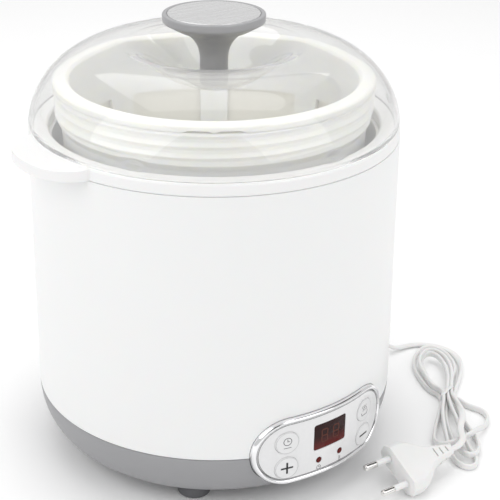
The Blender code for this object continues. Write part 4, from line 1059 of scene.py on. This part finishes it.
# ---- strainer cloth --------------------------------------------------
# A cup of fine nylon mesh, welded to the outside of the cage so that it closes every window.
weave = Finish("strainer_weave", (0.87, 0.85, 0.74), 0.62)
spot = weave.place()
across = weave.node("ShaderNodeSeparateXYZ", None, {"Vector": spot}, out=0) - AXIS.x
along = weave.node("ShaderNodeSeparateXYZ", None, {"Vector": spot}, out=1) - AXIS.y
upward = weave.node("ShaderNodeSeparateXYZ", None, {"Vector": spot}, out=2)
THREADS = 900
bearing = across.math("ARCTAN2", along, across)
warp = weave.node("ShaderNodeMath", {"operation": "SINE"}, {0: bearing * THREADS})
weft = weave.node("ShaderNodeMath", {"operation": "SINE"}, {0: upward * (THREADS / 0.081)})
weave_height = warp.math("MAXIMUM", warp, weft)
weave.vary("Base Color", weave.blend(weave_height * 0.5 + 0.5, (0.80, 0.78, 0.66), (0.90, 0.885, 0.79)))
weave.bump(weave_height, 0.5, 0.0002)
MESH_SKIN = 0.0006
floor_r = CAGE_OUT - 0.0092
cloth_outline = [(0, basket_low[2] - 0.0009), (floor_r, basket_low[2] - 0.0009),
                 (CAGE_OUT - 0.0067, basket_low[2] + 0.0018), (CAGE_OUT + 0.0002, 0.2030),
                 (CAGE_OUT + 0.0002 - MESH_SKIN, 0.2030),
                 (CAGE_OUT - 0.0067 - MESH_SKIN, basket_low[2] + 0.0018),
                 (floor_r - MESH_SKIN, basket_low[2] - 0.0003), (0, basket_low[2] - 0.0003)]
finished(turned(cloth_outline, 176), "strainer_cloth", "basket", weave, ("strainer_mesh",))

# ---- lid -------------------------------------------------------------
# A dome blown clear and glossy in polystyrene, about two millimetres thick, with a dished crown.
# Six small nubs inside its rim centre it on the collar.
lid_low, lid_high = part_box("dome_lid")
SEAM = lid_low[2]
LID_R = (lid_high[0] - lid_low[0]) / 2
LID_MIDDLE_R, LID_SINK = 0.0578, 0.0041
LID_ARC = (0.0511, 0.0476)
LID_SKIN = 0.0022
DISH_R, DISH_FLAT_R = 0.0556, 0.0100
DISH_Z = SEAM + 0.0225
CREST = SEAM - LID_SINK + LID_ARC[1]

clear = Finish("clear_polystyrene", (0.97, 0.97, 0.97), 0.015, {
    "Transmission Weight": 0.84, "IOR": 1.40})
clear.vary("Roughness", 0.004 + clear.noise(30, 4) * 0.012)
lamp_ray = clear.node("ShaderNodeLightPath", out="Is Shadow Ray")
see_through = clear.node("ShaderNodeBsdfTransparent", None, {"Color": (1.0, 1.0, 1.0)})
surface = clear.node("ShaderNodeMixShader", None, {
    0: lamp_ray, 1: Value(clear, clear.shader.outputs[0]), 2: see_through})
clear.feed(clear.tree.nodes["Material Output"].inputs["Surface"], surface)

start_angle = math.degrees(math.asin((LID_SINK + 0.0022) / LID_ARC[1]))
dome = []
for i in range(41):
    angle = math.radians(start_angle + (90 - start_angle) * i / 40)
    dome.append((LID_MIDDLE_R + LID_ARC[0] * math.cos(angle), SEAM - LID_SINK + LID_ARC[1] * math.sin(angle)))
for i in range(1, 29):
    share = i / 28
    radius = DISH_R + (DISH_FLAT_R - DISH_R) * share
    dome.append((radius, CREST + (DISH_Z - CREST) * (1 - math.cos(math.pi * share)) / 2))
HOLE_R = 0.0026
outside = [(LID_R - 0.0004, SEAM + 0.0001), (LID_R - 0.0001, SEAM + 0.0006)] + dome + [(HOLE_R, DISH_Z)]
inside = []
for before, here, after in zip(outside[1:], outside[2:], outside[3:]):
    way = (Vector(after) - Vector(before)).normalized()
    inside.append((max(here[0] - way.y * LID_SKIN, HOLE_R), here[1] + way.x * LID_SKIN))
inside.append((HOLE_R, DISH_Z - LID_SKIN))
lid_bm = turned(outside + inside[::-1] + [(LID_R - 0.0032, SEAM + 0.0001)], 240, Vector())
for vert in lid_bm.verts:
    radius = math.hypot(vert.co.x, vert.co.y)
    turn = (math.degrees(math.atan2(vert.co.y, vert.co.x)) + 90) % 60
    if (SEAM + 0.0035 < vert.co.z < SEAM + 0.0075 and min(turn, 60 - turn) < 1.6
            and 0.09 < radius < LID_R - LID_SKIN * 0.8):
        vert.co.x, vert.co.y = vert.co.x * (1 - 0.0012 / radius), vert.co.y * (1 - 0.0012 / radius)
bmesh.ops.translate(lid_bm, verts=lid_bm.verts, vec=AXIS)
finished(lid_bm, "clear_dome", "lid", clear, ("dome_lid",), sharp=50)

# ---- knob ------------------------------------------------------------
# A satin grey stem that flares into a round grip, held by one screw from inside the lid. A polished
# and lightly brushed disc is let into its top.
knob_low, knob_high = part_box("lid_knob")
STEM_R = 0.0082
KNOB_R = (knob_high[0] - knob_low[0]) / 2
KNOB_TOP = knob_high[2]
KNOB_UNDER = KNOB_TOP - 0.0045
INSERT_R = 0.0267
FLARE_R = 0.0175
FLARE_Z = DISH_Z + 0.0125
knob_grey = Finish("knob_grey", (0.36, 0.36, 0.37), 0.34)
knob_grey.vary("Roughness", 0.28 + knob_grey.noise(120, 4) * 0.12)
knob_grey.vary("Base Color",
               knob_grey.blend(knob_grey.noise(20, 4), (0.345, 0.345, 0.355), (0.38, 0.38, 0.39)))
knob_grey.bump(knob_grey.noise(1500, 2), 0.15, 0.0002)
flare = []
for i in range(1, 15):
    angle = math.radians(180 - 75 * i / 14)
    flare.append((STEM_R + FLARE_R + FLARE_R * math.cos(angle), FLARE_Z + FLARE_R * math.sin(angle), 0))
BORE = (0.0024, DISH_Z + 0.021)
RECESS = 0.0008
knob_outline = filleted(
    [(BORE[0], DISH_Z + 0.0003, 0), (STEM_R, DISH_Z + 0.0003, 0.0004), (STEM_R, FLARE_Z - 0.0005, 0)]
    + flare + [(KNOB_R, KNOB_UNDER, 0.0011), (KNOB_R, KNOB_TOP, 0.0011),
               (INSERT_R + 0.0003, KNOB_TOP, 0.0003), (INSERT_R + 0.0003, KNOB_TOP - RECESS, 0),
               (0, KNOB_TOP - RECESS, 0), (0, BORE[1], 0), (BORE[0], BORE[1], 0)])
finished(turned(knob_outline, 144), "grey_knob", "lid", knob_grey, ("lid_knob",))

brushed = Finish("brushed_disc", (0.92, 0.92, 0.92), 0.20, {"Metallic": 1.0})
streaks = brushed.noise(28, 6, (1.0, 26.0, 1.0))
brushed.vary("Roughness", 0.20 + streaks * 0.14)
brushed.vary("Base Color", brushed.blend(streaks, (0.88, 0.88, 0.885), (0.97, 0.97, 0.97)))
brushed.bump(streaks, 0.10, 0.0002)
disc_z = KNOB_TOP - RECESS + 0.0003
insert_outline = filleted([(0, disc_z, 0), (INSERT_R, disc_z, 0), (INSERT_R, KNOB_TOP, 0.0003),
                           (INSERT_R - 0.0012, KNOB_TOP - 0.00002, 0), (0, KNOB_TOP - 0.00015, 0)])
finished(turned(insert_outline, 144), "brushed_insert", "lid", brushed, ("knob_insert",))

washer_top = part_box("knob_washer")[1][2]
washer_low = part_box("knob_washer")[0][2]
finished(turned(filleted([(BORE[0], washer_low, 0), (0.0070, washer_low, 0.0003),
                          (0.0070, washer_top, 0.0003), (BORE[0], washer_top, 0)]), 64),
         "rubber_washer", "lid", rubber, ("knob_washer",))
screw_low, screw_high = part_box("knob_screw")
HEAD_TOP = washer_low - 0.0003
knob_screw_outline = filleted([(0, screw_low[2], 0), (0.0032, screw_low[2], 0.0009),
                               (0.0040, HEAD_TOP, 0.0002),
                               (0.0019, HEAD_TOP, 0), (0.0019, screw_high[2], 0.0004), (0, screw_high[2], 0)])
finished(turned(knob_screw_outline, 48), "steel_knob_screw", "lid", zinc, ("knob_screw",))
